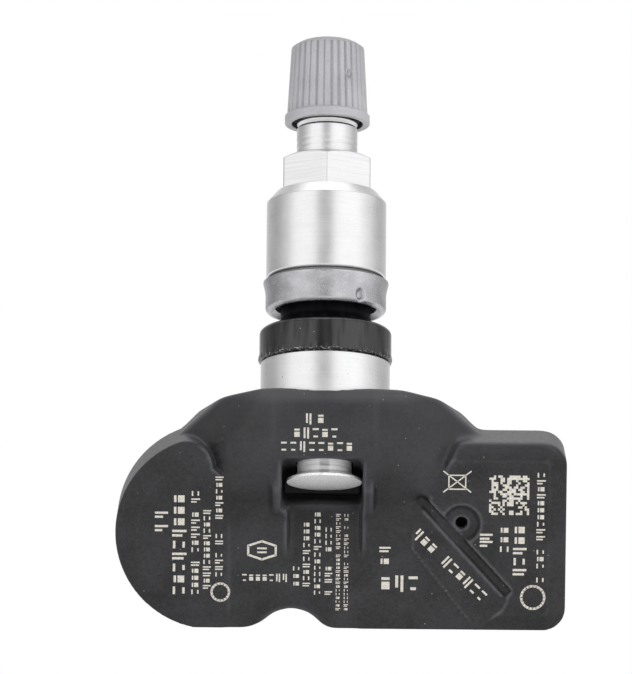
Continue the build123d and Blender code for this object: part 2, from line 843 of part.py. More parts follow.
# Moulded housing: slab, neck, socket and lobes, hollowed from behind
with BuildPart() as housing:
    slab_right_u = right_u - corner_r - right_bevel_width
    with BuildSketch(printed.offset(back_out)) as slab_outline:
        with BuildLine():
            Polyline(
                (lobe_u, bottom_w),
                (slab_right_u, bottom_w),
                (slab_right_u, shoulder_end_w),
                (lobe_u, shoulder_end_w),
                close=True,
            )
        make_face()
        with Locations((notch_u, notch_top_w - notch_r)):
            Circle(notch_r, mode=Mode.SUBTRACT)
        notch_corners = slab_outline.vertices().group_by(Axis.Y)[0].sort_by(Axis.X)
        fillet(notch_corners[1], radius=notch_left_round)
        fillet(slab_outline.vertices().group_by(Axis.Y)[0].sort_by(Axis.X)[-2], radius=notch_right_round)
    extrude(amount=floor_out - back_out)
    add(neck)
    add(socket)
    add(left_lobe)
    add(right_lobe)
    with BuildSketch(printed.offset(floor_out)):
        with BuildLine():
            Polyline(
                (pad_left_u, pad_top_w),
                (groove_start_u, groove_start_w),
                (groove_end_u, groove_end_w),
                (pad_right_u, pad_right_w),
                (pad_low_u, bottom_w),
                (pad_left_u, pad_left_w),
                close=True,
            )
        make_face()
    extrude(amount=pad_rise)
    # Ball socket with its eased rim, and the slot that the foot's shank swings in
    with Locations((0, 0, pivot_z)):
        Sphere(cup_r, mode=Mode.SUBTRACT)
    rim_floor_z = neck_top_z - rim_relief_depth
    revolve(
        section(
            (0, neck_top_z),
            (rim_relief_r, neck_top_z),
            (sqrt(cup_r**2 - (pivot_z - rim_floor_z) ** 2), rim_floor_z),
            (0, rim_floor_z),
        ),
        axis=Axis.Z,
        mode=Mode.SUBTRACT,
    )
    with BuildSketch(Plane.XY.offset(ceiling_z)):
        SlotCenterToCenter(2 * slot_shift, 2 * (neck_r + slot_gap), rotation=90)
    extrude(amount=ceiling_depth / 2, mode=Mode.SUBTRACT)
    # Window that shows the foot, and the channel that runs out below it
    with BuildSketch(along.offset(window_left_u)):
        with BuildLine():
            Polyline(
                (ceiling_w(front_out), front_out),
                (ceiling_w(window_back_out), window_back_out),
                (window_bottom_w, window_back_out),
                (window_bottom_w, front_out),
                close=True,
            )
        make_face()
    extrude(amount=window_right_u - window_left_u, mode=Mode.SUBTRACT)
    channel_out = floor_out - (window_bottom_w - channel_end_w) * tan(radians(housing_lean))
    with BuildSketch(along.offset(channel_left_u)):
        with BuildLine():
            Polyline(
                (channel_end_w, floor_out),
                (window_bottom_w, channel_out),
                (window_bottom_w, front_out),
                (channel_end_w, front_out),
                close=True,
            )
        make_face()
    extrude(amount=channel_right_u - channel_left_u, mode=Mode.SUBTRACT)
    # Groove beside the square lobe, and the pressure port
    with BuildSketch(printed.offset(floor_out - groove_depth)):
        with BuildLine():
            groove_line = Line((groove_start_u, groove_start_w), (groove_end_u, groove_end_w))
        with Locations(groove_line @ 0.5):
            Rectangle(groove_line.length, groove_width, rotation=groove_angle)
    extrude(amount=front_out - floor_out, mode=Mode.SUBTRACT)
    port_floor_out = plateau_out - port_recess_depth
    port_flare = taper_angle((port_recess_r - port_floor_r) / port_recess_depth)
    port_floor = disc(port_u, port_w, port_floor_out, port_floor_r)
    extrude(port_floor, amount=port_recess_depth, taper=-port_flare, mode=Mode.SUBTRACT)
    extrude(disc(port_u, port_w, room_top_out, port_r), amount=front_out - room_top_out, mode=Mode.SUBTRACT)
    # Rooms for the cell and the board, and the seat of the cover
    extrude(disc(cell_u, lobe_w, back_out, cell_room_r), amount=cell_room_out - back_out, mode=Mode.SUBTRACT)
    bridge_width = bridge_right_u - bridge_left_u
    bridge_depth = bridge_high_w - bridge_low_w
    extrude(
        oblong(bridge_u, bridge_w, back_out, bridge_width, bridge_depth),
        amount=bridge_top_out - back_out,
        mode=Mode.SUBTRACT,
    )
    extrude(
        oblong(room_u, room_w, back_out, room_right_u - room_left_u, room_step_w - room_low_w),
        amount=room_top_out - back_out,
        mode=Mode.SUBTRACT,
    )
    extrude(
        oblong(annex_u, annex_w, back_out, room_right_u - room_step_u, room_high_w - room_low_w),
        amount=room_top_out - back_out,
        mode=Mode.SUBTRACT,
    )
    extrude(rooms(back_out, cover_ledge), amount=cover_thickness, mode=Mode.SUBTRACT)
    # Posts that hold the board down
    stake_length = room_top_out - board_out
    extrude(disc(high_stake_u, high_stake_w, board_out, stake_r), amount=stake_length)
    extrude(disc(low_stake_u, low_stake_w, board_out, stake_r), amount=stake_length)
    extrude(disc(bridge_u, bridge_w, board_out, stake_r), amount=bridge_top_out - board_out)
finish(housing, "housing")

# Cover that closes the back, with the posts that the board rests on
with BuildPart() as back_cover:
    extrude(rooms(back_out, cover_ledge - cover_gap), amount=cover_thickness)
    extrude(disc(high_stake_u, high_stake_w, cover_out, stake_r), amount=board_lift)
    extrude(disc(low_stake_u, low_stake_w, cover_out, stake_r), amount=board_lift)
    extrude(disc(bridge_u, bridge_w, cover_out, stake_r), amount=board_lift)
    extrude(disc(cell_u, lobe_w, cover_out, stake_r), amount=board_lift)
finish(back_cover, "back_cover")

with BuildPart() as circuit_board:
    extrude(rooms(board_back_out, -board_margin), amount=board_thickness)
finish(circuit_board, "circuit_board")

# Coin cell with its smaller negative face towards the board
with BuildPart() as battery_cell:
    extrude(disc(cell_u, lobe_w, cell_out, cell_r - cell_step), amount=cell_height)
    extrude(disc(cell_u, lobe_w, cell_out + cell_step, cell_r), amount=cell_height - cell_step)
finish(battery_cell, "battery_cell")

with BuildPart() as battery_insulator:
    extrude(disc(cell_u, lobe_w, board_out, insulator_r), amount=foil)
finish(battery_insulator, "battery_insulator")

# Contact strips: one over the cell and down beside it, one under it
with BuildPart() as battery_tab_positive:
    strip_out = cell_out + cell_height
    leg_u = cell_u + cell_r + cell_gap / 4
    with BuildSketch(across.offset(-lobe_w - tab_width / 2)):
        with BuildLine():
            Polyline(
                (cell_u, strip_out),
                (leg_u, strip_out),
                (leg_u, board_out),
                (leg_u + tab_foot, board_out),
                (leg_u + tab_foot, board_out + foil),
                (leg_u + foil, board_out + foil),
                (leg_u + foil, strip_out + foil),
                (cell_u, strip_out + foil),
                close=True,
            )
        make_face()
    extrude(amount=tab_width)
finish(battery_tab_positive, "battery_tab_positive")

with BuildPart() as battery_tab_negative:
    bend_u = cell_u + insulator_r
    end_u = cell_u + cell_r + tab_foot
    under_out = board_out + foil
    with BuildSketch(across.offset(-lobe_w + tab_drop - tab_width / 2)):
        with BuildLine():
            Polyline(
                (cell_u, under_out),
                (bend_u, under_out),
                (bend_u, board_out),
                (end_u, board_out),
                (end_u, under_out),
                (bend_u + foil, under_out),
                (bend_u + foil, cell_out),
                (cell_u, cell_out),
                close=True,
            )
        make_face()
    extrude(amount=tab_width)
finish(battery_tab_negative, "battery_tab_negative")

# Pressure chip under the port, its lid, and the sealed way up to the filter
chip_out = board_out + chip_height
lid_out = chip_out + lid_height
filter_out = room_top_out - filter_height
with BuildPart() as sensor_chip:
    extrude(oblong(port_u, port_w, board_out, chip_width, chip_depth), amount=chip_height)
finish(sensor_chip, "sensor_chip")

with BuildPart() as sensor_chip_lid:
    lid_width = chip_width - 2 * lid_margin
    lid_depth = chip_depth - 2 * lid_margin
    extrude(oblong(port_u, port_w, chip_out, lid_width, lid_depth), amount=lid_height)
    extrude(
        oblong(port_u, port_w, chip_out, lid_width - 2 * lid_wall, lid_depth - 2 * lid_wall),
        amount=lid_height - lid_wall,
        mode=Mode.SUBTRACT,
    )
    extrude(disc(port_u, port_w, chip_out, lid_hole_r), amount=lid_height, mode=Mode.SUBTRACT)
finish(sensor_chip_lid, "sensor_chip_lid")

with BuildPart() as port_seal:
    extrude(disc(port_u, port_w, lid_out, port_seal_r), amount=filter_out - lid_out)
    extrude(disc(port_u, port_w, lid_out, port_seal_bore_r), amount=filter_out - lid_out, mode=Mode.SUBTRACT)
finish(port_seal, "port_seal")

with BuildPart() as port_filter:
    extrude(disc(port_u, port_w, filter_out, port_seal_r), amount=filter_height)
finish(port_filter, "port_filter")

# Wake-up coil: a core between two cheeks and the winding around it
cheek_length = (coil_length - winding_length) / 2
cheek_shift = (coil_length - cheek_length) / 2
coil_out = board_out + coil_lift
with BuildPart() as coil_core:
    extrude(oblong(room_u, coil_w, coil_out, coil_length, coil_size), amount=coil_size)
    for cheek_u in (room_u - cheek_shift, room_u + cheek_shift):
        extrude(oblong(cheek_u, coil_w, board_out, cheek_length, coil_width), amount=coil_lift + coil_size)
finish(coil_core, "coil_core")

with BuildPart() as coil_winding:
    extrude(
        oblong(room_u, coil_w, coil_out - winding_depth, winding_length, coil_width),
        amount=coil_size + 2 * winding_depth,
    )
    extrude(oblong(room_u, coil_w, coil_out, winding_length, coil_size), amount=coil_size, mode=Mode.SUBTRACT)
finish(coil_winding, "coil_winding")

with BuildPart() as crystal_can:
    extrude(oblong(crystal_u, crystal_w, board_out, crystal_length, crystal_width), amount=crystal_height)
finish(crystal_can, "crystal_can")

with BuildPart() as transmitter_chip:
    extrude(oblong(radio_u, radio_w, board_out, radio_size, radio_size), amount=radio_height)
finish(transmitter_chip, "transmitter_chip")

# Antenna: a flat strip standing on its two ends
with BuildPart() as antenna_strip:
    low_w = annex_w - antenna_span / 2
    high_w = annex_w + antenna_span / 2
    antenna_top_out = board_out + antenna_height
    with BuildSketch(along.offset(antenna_u)):
        with BuildLine():
            Polyline(
                (low_w, board_out),
                (low_w, antenna_top_out),
                (high_w, antenna_top_out),
                (high_w, board_out),
                (high_w - antenna_band, board_out),
                (high_w - antenna_band, antenna_top_out - antenna_band),
                (low_w + antenna_band, antenna_top_out - antenna_band),
                (low_w + antenna_band, board_out),
                close=True,
            )
        make_face()
    extrude(amount=antenna_thickness)
finish(antenna_strip, "antenna_strip")

# Rows of small board components
with BuildPart() as capacitors:
    with BuildSketch(printed.offset(board_out)):
        with Locations((capacitor_u, annex_w)):
            with GridLocations(capacitor_pitch, capacitor_pitch, 1, capacitor_count):
                Rectangle(capacitor_length, capacitor_width)
    extrude(amount=capacitor_height)
finish(capacitors, "capacitors")

with BuildPart() as resistors:
    with BuildSketch(printed.offset(board_out)):
        with Locations((resistor_u, resistor_w)):
            with GridLocations(resistor_pitch, resistor_pitch, resistor_count, 1):
                Rectangle(resistor_width, resistor_length)
    extrude(amount=resistor_height)
finish(resistors, "resistors")
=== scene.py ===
"""Looks of a clamp-in tyre pressure sensor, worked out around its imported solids.

Metres. +Z runs along the valve towards its cap, and -Y is the printed side of the housing.
"""
import json
from functools import partial
from math import cos, pi, radians, sin, tan

import bmesh
import bpy
import numpy as np
from bpy.props import FloatProperty, FloatVectorProperty, IntProperty, PointerProperty
from mathutils import Matrix, Vector


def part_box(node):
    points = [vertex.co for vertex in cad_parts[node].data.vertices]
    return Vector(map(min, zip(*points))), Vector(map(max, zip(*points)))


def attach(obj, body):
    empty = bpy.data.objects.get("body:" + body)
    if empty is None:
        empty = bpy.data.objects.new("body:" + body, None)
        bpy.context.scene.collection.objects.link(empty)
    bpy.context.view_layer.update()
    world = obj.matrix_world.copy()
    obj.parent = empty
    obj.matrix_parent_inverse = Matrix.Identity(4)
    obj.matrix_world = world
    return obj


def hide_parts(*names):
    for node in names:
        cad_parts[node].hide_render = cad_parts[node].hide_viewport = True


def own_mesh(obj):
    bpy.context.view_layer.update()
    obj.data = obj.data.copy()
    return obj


bl_info = {
    "name": "Tyre pressure sensor",
    "version": (1, 0, 0),
    "blender": (4, 5, 0),
    "location": "3D View > Sidebar > Sensor",
    "description": "Turned valve pieces, laser marks, finishes and a studio for a tyre pressure sensor",
    "category": "Add Mesh",
}

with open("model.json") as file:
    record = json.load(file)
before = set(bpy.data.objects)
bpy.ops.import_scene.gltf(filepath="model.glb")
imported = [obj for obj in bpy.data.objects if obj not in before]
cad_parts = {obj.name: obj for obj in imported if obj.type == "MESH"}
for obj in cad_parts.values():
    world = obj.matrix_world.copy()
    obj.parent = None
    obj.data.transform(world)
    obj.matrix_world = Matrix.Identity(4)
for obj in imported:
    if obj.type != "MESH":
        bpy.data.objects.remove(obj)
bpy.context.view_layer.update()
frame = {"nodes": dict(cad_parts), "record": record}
MM = 0.001
# Grey of the reflection drum against the angle from the front, from left to right
DRUM_GREYS = (
    (-180, 0.90), (-154, 0.54), (-130, 0.36), (-108, 0.33), (-84, 0.52), (-60, 0.92), (-24, 0.93),
    (-9, 0.38), (6, 0.40), (18, 0.97), (60, 0.99), (90, 0.68), (116, 0.42), (134, 0.42), (156, 0.54),
    (180, 0.90),
)
VALVE, WASHER, NUT, CAP, SENSOR = "valve", "washer", "nut", "cap", "sensor"


def top_of(node):
    """Height of a solid's highest point, in millimetres."""
    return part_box(node)[1].z / MM


def foot_of(node):
    """Height of a solid's lowest point, in millimetres."""
    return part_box(node)[0].z / MM


def reach_of(node):
    """Largest radius of a turned solid, in millimetres."""
    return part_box(node)[1].x / MM


def length(millimetres, description):
    """A length property whose default is given in millimetres."""
    return FloatProperty(description=description, default=millimetres * MM, unit="LENGTH", precision=5)


def angle(degrees, description):
    """An angle property whose default is given in degrees."""
    return FloatProperty(description=description, default=radians(degrees), subtype="ANGLE")


def share(value, description):
    """A plain number from 0 up."""
    return FloatProperty(description=description, default=value, min=0.0)


def whole(value, description):
    """A whole number from 0 up."""
    return IntProperty(description=description, default=value, min=0)


def tint(red, green, blue, description):
    """A linear colour property."""
    default = (red, green, blue)
    return FloatVectorProperty(description=description, default=default, min=0.0, max=1.0, subtype="COLOR")


def named(group):
    """A property group, with each property labelled after its attribute."""
    for key, made in group.__annotations__.items():
        made.keywords["name"] = key.replace("_", " ").capitalize()
    return group


class StemSizes(bpy.types.PropertyGroup):
    """Turned stem with its ball base."""

    radius: length(3.85, "Outside of the thread")
    ease: length(0.08, "How far each edge is rounded")
    base_radius: length(reach_of("valve_stem"), "Ball and flange that carry the housing")
    base_top: length(-4.25, "Height of the flange face under the seal")
    base_edge: length(0.25, "Chamfer around the flange")
    pivot: length(-8.0, "Height of the ball's middle")
    neck_radius: length(3.45, "Flat end of the ball, where the foot starts")
    bottom: length(foot_of("valve_stem"), "Height of the ball's flat end")
    top: length(top_of("valve_stem"), "Height of the stem's mouth")
    tip_chamfer: length(0.60, "Chamfer at the mouth")
    relief_top: length(26.27, "Upper end of the groove below the cap")
    relief_height: length(0.22, "Height of that groove")
    relief_depth: length(0.26, "Depth of that groove")
    relief_cone: length(0.36, "Height of the cone above that groove")
    mouth_radius: length(2.57, "Bore that takes the valve core")
    mouth_depth: length(4.60, "Depth of that bore")
    chamber_radius: length(2.05, "Bore below the core")
    chamber_depth: length(9.70, "Depth of the chamber's floor")
    air_radius: length(1.00, "Long bore down the stem")
    shank_radius: length(2.22, "Bore that takes the foot's shank")
    shank_top: length(-8.95, "Upper end of that bore")
    thread_pitch: length(0.79375, "Pitch of the fine thread")
    thread_depth: length(0.06, "How far the worn thread is cut in")
    thread_bottom: length(14.0, "Lower end of the thread")
    thread_top: length(25.1, "Upper end of the thread below the groove")


class SealSizes(bpy.types.PropertyGroup):
    """Rubber seal between the base and the rim."""

    radius: length(8.30, "Outside of the flange")
    ease: length(0.25, "How far each edge is rounded")
    lip_radius: length(reach_of("rim_seal"), "Thin lip at the flange's foot")
    lip_height: length(0.50, "Height of that lip")
    lip_wave: length(0.06, "How far the moulded lip wanders in and out")
    bottom: length(foot_of("rim_seal"), "Height of the flange's foot")
    edge: length(0.50, "Chamfer at the flange's top")
    root_radius: length(6.20, "Root of the neck")
    root_height: length(1.20, "Height of the neck's root")
    neck_radius: length(5.65, "Neck that fills the rim's hole")
    neck_height: length(4.40, "Height of that neck")
    tip_radius: length(4.80, "End of the neck")
    top: length(top_of("rim_seal"), "Height of the neck's end")
    bore_radius: length(3.90, "Hole for the stem")


class WasherSizes(bpy.types.PropertyGroup):
    """Thrust washer that the nut turns on."""

    radius: length(7.60, "Outside of the wall")
    lip_radius: length(reach_of("nut_washer"), "Lip below the nut")
    lip_height: length(0.22, "Height of that lip's edge")
    lip_rise: length(1.45, "Height over which the wall flares out to the lip")
    bottom: length(foot_of("nut_washer"), "Height of the clamping face")
    top: length(top_of("nut_washer"), "Height of the nut's seat")
    rounding: length(0.38, "Chamfer at the clamping face")
    mouth_radius: length(6.95, "Opening at the clamping face")
    mouth_height: length(0.55, "Height of the cone inside that opening")
    recess_radius: length(6.30, "Recess over the seal's neck")
    recess_depth: length(2.40, "Depth of that recess")
    bore_radius: length(5.85, "Hole for the nut's relief")
    dimple_turn: angle(-55.2, "Where the small dimple is, around the axis")
    dimple_height: length(3.21, "Height of the dimple's middle")
    dimple_width: length(0.52, "Half the dimple's width")
    dimple_rise: length(0.68, "Half the dimple's height")
    dimple_depth: length(0.62, "Depth of the dimple")


class NutSizes(bpy.types.PropertyGroup):
    """Clamping nut with its spanner hexagon."""

    seat_radius: length(7.00, "Ring that the nut stands on")
    seat_height: length(0.50, "Height of that ring")
    radius: length(reach_of("valve_nut"), "Round body")
    body_height: length(9.75, "Height of the round body")
    body_edge: length(0.20, "Chamfer at the body's foot")
    shoulder_radius: length(6.35, "Upper end of the cone")
    shoulder_height: length(1.40, "Height of the cone")
    ease: length(0.10, "How far each edge is rounded")
    across_flats: length(11.0, "Size of the spanner")
    corner_gap: length(0.03, "How far the hexagon's corners stay inside the cone's end")
    mouth_chamfer: length(0.50, "Chamfer at the bore's mouth")
    top_radius: length(5.25, "Flat ring on top of the hexagon")
    chamfer: angle(30.0, "Slope of the hexagon's chamfer")
    bottom: length(foot_of("valve_nut"), "Height of the nut's seat")
    top: length(top_of("valve_nut"), "Height of the hexagon's top")
    relief_radius: length(5.95, "Relief in the nut's foot")
    relief_depth: length(3.15, "Depth of that relief")
    bore_radius: length(3.93, "Threaded bore")


class CapSizes(bpy.types.PropertyGroup):
    """Fluted screw cap."""

    bottom: length(foot_of("valve_cap"), "Height of the cap's mouth")
    top: length(top_of("valve_cap"), "Height of the cap's head")
    lip_radius: length(reach_of("valve_cap"), "Plain lip around the mouth")
    lip_height: length(1.10, "Height of that lip")
    foot_radius: length(5.10, "Lower end of the fluted taper")
    head_radius: length(4.62, "Upper end of the fluted taper")
    shoulder: length(36.62, "Height at which the taper ends and the domed head starts")
    rounding: length(0.24, "Round between taper and dome")
    ease: length(0.16, "How far each edge is rounded")
    bore_radius: length(3.93, "Threaded bore")
    mouth_radius: length(4.48, "Opening around the stem")
    mouth_depth: length(1.00, "Depth of that opening")
    ceiling: length(35.85, "Height of the bore's end")
    flutes: whole(32, "Grooves around the cap")
    flute_width: length(0.24, "Half the width of a groove")
    flute_depth: length(0.36, "Depth of a groove")
    dent_turn: angle(-55.4, "Where the small ring-shaped dent is, around the axis")
    dent_height: length(32.4, "Height of the dent's middle")
    dent_radius: length(0.40, "Radius of the dent's ring")
    dent_depth: length(0.34, "Depth of the dent")


class HousingSizes(bpy.types.PropertyGroup):
    """Soft edges and painted light of the moulded housing, with places to the right and up from the ball's
    middle.
    """

    cell: length(0.20, "Grid of the skin over the solid")
    rounds: whole(44, "How often the skin is smoothed")
    soft: share(0.24, "How far a point moves towards its neighbours in each round")
    dome_soft: share(0.50, "The same on the dome around the ball")
    face_soft: share(0.04, "The same on both lobes' faces, around the slanted pad and the port")
    kept: share(0.36, "Share of the faces kept afterwards")
    cup: length(8.6, "Reach of the ball's cup, which isn't smoothed")
    dome_side: length(6.8, "From the middle to where the dome is fully soft")
    dome_bottom: length(-17.0, "Lower end of the dome")
    rim: length(1.6, "Height of the dome's rim")
    lobe_u: length(-13.80, "Middle of the round lobe, to the right")
    lobe_w: length(-16.95, "Middle of the round lobe, up the face")
    lobe_radius: length(12.30, "Radius of the round lobe")
    lobe_side: length(-12.8, "Right end of the round lobe's face")
    square_lean: share(0.525, "How far the square lobe's side moves right for each length up")
    square_side: length(20.0, "Where that side would be beside the ball's middle")
    square_top: length(-7.5, "Upper edge of the square lobe's face")
    # Painted light: walls that look up the face are made paler, as if lit from above
    dusty: share(0.95, "Dust on walls that look up")
    # Painted light: the dome, its rounded rim and the column's two edges are made paler, as if they caught
    # more light
    dome_light: share(0.20, "Wear of the dome")
    rim_light: share(0.80, "Wear of the dome's rim")
    crease: length(6.4, "From the middle to the column's two edges")
    crease_width: length(0.4, "Width of the wear along them")
    crease_light: share(0.16, "Wear of those edges")
    right: length(30.30, "Right end of the square lobe")
    bottom: length(-29.00, "Lower edge of the slab")


class MarkSizes(bpy.types.PropertyGroup):
    """Laser marks on the housing's faces, from the middle of the ball."""

    lean: angle(22.0, "Lean of the housing from the valve")
    pivot: length(-8.0, "Height of the ball's middle")
    slab: length(6.50, "How far out the slab's face is")
    plateau: length(7.00, "How far out both lobes' faces are")
    column: length(9.30, "How far out the middle column's face is")
    pad: length(6.70, "How far out the slanted pad's face is")
    channel_end: length(-20.60, "Lower end of the sloping channel")
    proud: length(0.015, "How far a mark stands out")
    sunk: length(0.12, "How far a mark reaches in")
    stroke: share(0.17, "Width of a stroke, as a share of the line's height")


class Finishes(bpy.types.PropertyGroup):
    """Colours and roughness of the surfaces that show."""

    alloy: tint(0.80, 0.80, 0.81, "Turned alloy of stem and nut")
    alloy_roughness: share(0.30, "Roughness of the turned alloy")
    washer: tint(0.50, 0.50, 0.52, "Tumbled alloy of the washer")
    washer_roughness: share(0.31, "Roughness of the tumbled alloy")
    foot: tint(0.70, 0.70, 0.70, "Grainy alloy of the foot")
    rubber: tint(0.003, 0.003, 0.004, "Seals")
    cap: tint(0.42, 0.42, 0.44, "Grey plastic of the cap")
    cap_roughness: share(0.42, "Roughness of that plastic")
    cap_grain: length(0.14, "Size of its grain")
    cap_grain_depth: length(0.010, "Depth of its grain")
    housing: tint(0.0175, 0.0175, 0.0192, "Charcoal plastic of the housing")
    housing_roughness: share(0.43, "Roughness of that plastic")
    housing_grain: length(0.24, "Size of its grain")
    housing_grain_depth: length(0.040, "Depth of its grain")
    mark: tint(0.60, 0.57, 0.51, "Laser marks")


class StageSizes(bpy.types.PropertyGroup):
    """Camera, lights and floor."""

    elevation: angle(-13.0, "Height of the view above the horizon")
    roll: angle(0.5, "Turn of the picture")
    distance: length(850.0, "From the camera to the object")
    picture_height: length(84.8, "What the picture's height covers at the object")
    aim_right: length(-1.195, "Middle of the picture, along X")
    aim_up: length(-0.904, "Middle of the picture, along Z")
    fill: share(0.60, "Light from all around, as a share of white")
    softbox: share(1.10, "Brightness of each softbox, as a share of white")
    softbox_turn: angle(46.0, "How far each is turned from the front")
    softbox_distance: length(750.0, "From each to the object")
    softbox_width: length(600.0, "Width of each")
    softbox_height: length(900.0, "Height of each")
    softbox_bias: share(0.45, "How much brighter the right one is, and dimmer the left one")
    low_softbox: share(2.2, "Brightness of the softbox below the front, as a share of white")
    low_forward: length(200.0, "How far that one is in front of the object")
    low_down: length(220.0, "How far it is below the object")
    low_width: length(300.0, "Its width")
    low_height: length(100.0, "Its height")
    drum: share(1.25, "Brightest part of what metal mirrors, as a share of white")
    drum_radius: length(1350.0, "Radius of the ring that metal mirrors")
    drum_reach: length(1500.0, "How far it reaches up and down")
    ceiling_height: length(500.0, "Height of the card above")
    ceiling_radius: length(500.0, "Radius of that card")
    ceiling_back: length(20.0, "How far its middle is behind the valve")
    ceiling: share(1.9, "Brightness of the card above, as a share of white")
    floor: length(-250.0, "Height of the floor")
    floor_clear: length(120.0, "Where the floor starts to fade to white")
    floor_white: length(600.0, "Where it is all white")


def grid_mesh(name, points, close_rows):
    """A mesh of quads over points[row, column], closed along the columns and, if asked, along the rows.

    Rows that shrink to a point on the axis are welded there.
    """
    rows, columns = points.shape[:2]
    numbers = np.arange(rows * columns).reshape(rows, columns)
    if close_rows:
        numbers = np.vstack([numbers, numbers[:1]])
    numbers = np.hstack([numbers, numbers[:, :1]])
    corners = [numbers[:-1, :-1], numbers[:-1, 1:], numbers[1:, 1:], numbers[1:, :-1]]
    faces = np.stack(corners, axis=-1).reshape(-1, 4)
    mesh = bpy.data.meshes.new(name)
    mesh.from_pydata(points.reshape(-1, 3), [], faces.tolist())
    work = bmesh.new()
    work.from_mesh(mesh)
    bmesh.ops.remove_doubles(work, verts=work.verts, dist=MM * 1e-4)
    bmesh.ops.dissolve_degenerate(work, edges=work.edges, dist=MM * 1e-4)
    work.to_mesh(mesh)
    work.free()
    mesh.shade_smooth()
    return mesh


def place(mesh, body, material, slot, *nodes):
    """Put a finished mesh into the scene, on its body, with its finish and the solids that it stands for."""
    piece = bpy.data.objects.new(mesh.name, mesh)
    bpy.context.scene.collection.objects.link(piece)
    mesh.materials.append(material)
    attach(piece, body)
    if nodes:
        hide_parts(*nodes)
    return piece


def paint(solid, material):
    """Give a solid one material."""
    solid.data.materials.clear()
    solid.data.materials.append(material)


def eased(corners, ease, closed=True, steps=4):
    """The outline with each corner replaced by a short curve between two support points.

    A corner P becomes the parabola (1-t)^2 A + 2t(1-t) P + t^2 C, where A and C lie on its two sides at the
    distance ease, or two fifths of the shorter side. A support point lies a fifth further along each side.
    """
    corners = np.asarray(corners, float)
    before = np.roll(corners, 1, axis=0) - corners
    after = np.roll(corners, -1, axis=0) - corners
    reach_in = np.linalg.norm(before, axis=1, keepdims=True)
    reach_out = np.linalg.norm(after, axis=1, keepdims=True)
    pull = np.minimum(ease, 0.4 * np.minimum(reach_in, reach_out))
    if not closed:
        pull[[0, -1]] = 0.0
    start = before / reach_in * pull
    end = after / reach_out * pull
    t = np.linspace(0.0, 1.0, steps)[:, None, None]
    curve = corners + (1 - t) ** 2 * start + t**2 * end
    curve = np.concatenate([(corners + 1.2 * start)[None], curve, (corners + 1.2 * end)[None]])
    if not closed:
        curve[:, [0, -1]] = corners[[0, -1]]
    return curve.transpose(1, 0, 2).reshape(-1, 2)


def dense(outline, heights):
    """The closed outline with a point added wherever one of its sides crosses one of the heights.

    A side from A to B crosses the height h at A + t (B - A), where t = (h - A) / (B - A) along the height.
    """
    sides = np.roll(outline, -1, axis=0) - outline
    climb = np.where(sides[:, 1:] == 0.0, np.inf, sides[:, 1:])
    part = (heights - outline[:, 1:]) / climb
    side, height = np.nonzero((part > 0.0) & (part < 1.0))
    part = part[side, height]
    order = np.argsort(np.concatenate([np.arange(len(outline)), side + part]), kind="stable")
    return np.vstack([outline, outline[side] + part[:, None] * sides[side]])[order]


def around(radius, height, turn):
    """Points at a radius and height, turned about the valve axis: x = r cos a, y = r sin a."""
    return np.stack([radius * np.cos(turn), radius * np.sin(turn), height + 0 * turn], axis=-1)


def full_turn(count, *extra):
    """Angles of one full turn from the front, with any extra angles sorted in."""
    even = np.linspace(-pi / 2, 3 * pi / 2, count, endpoint=False)
    more = [np.mod(angles + pi / 2, 2 * pi) - pi / 2 for angles in extra]
    return np.unique(np.round(np.concatenate([even, *more]), 6))


def bump_curve(distance):
    """A smooth hump: 1 at distance 0, falling as exp(-d^4) to nothing past 1.5."""
    return np.exp(-(distance**4))


def soft_step(value, low, high):
    """0 below low and 1 above high, with the smooth cubic 3t^2 - 2t^3 between."""
    t = np.clip((value - low) / (high - low), 0.0, 1.0)
    return t * t * (3 - 2 * t)


def read(items, key, width, kind=float):
    """One attribute of all of a mesh's items, as rows of that width."""
    values = np.empty(len(items) * width, kind)
    items.foreach_get(key, values)
    return values.reshape(-1, width)


def neighbour_mean(values, edges):
    """The mean over each point's neighbours, for values with one row for each point."""
    first, second = edges.T
    count = len(values)
    near = np.bincount(edges.ravel(), minlength=count)
    total = [
        np.bincount(first, part[second], count) + np.bincount(second, part[first], count) for part in values.T
    ]
    return np.column_stack(total) / near[:, None]


def relaxed(values, edges, pull, rounds):
    """Values after some rounds in which each moves by its pull towards the mean of its neighbours."""
    for _ in range(rounds):
        values = values + pull * (neighbour_mean(values, edges) - values)
    return values


class Wire:
    """A shader socket. Operators on it add Math nodes."""

    def __init__(self, sheet, socket):
        self.sheet = sheet
        self.socket = socket

    def math(self, operation, *terms):
        """A Math node over the terms."""
        return self.sheet.node("ShaderNodeMath", {"operation": operation}, dict(enumerate(terms)))

    def __add__(self, other):
        return self.math("ADD", self, other)

    def __sub__(self, other):
        return self.math("SUBTRACT", self, other)

    def __rsub__(self, other):
        return self.math("SUBTRACT", other, self)

    def __mul__(self, other):
        return self.math("MULTIPLY", self, other)

    def __gt__(self, other):
        return self.math("GREATER_THAN", self, other)

    def __lt__(self, other):
        return self.math("LESS_THAN", self, other)

    def __or__(self, other):
        return self.math("MAXIMUM", self, other)

    __radd__ = __add__
    __rmul__ = __mul__


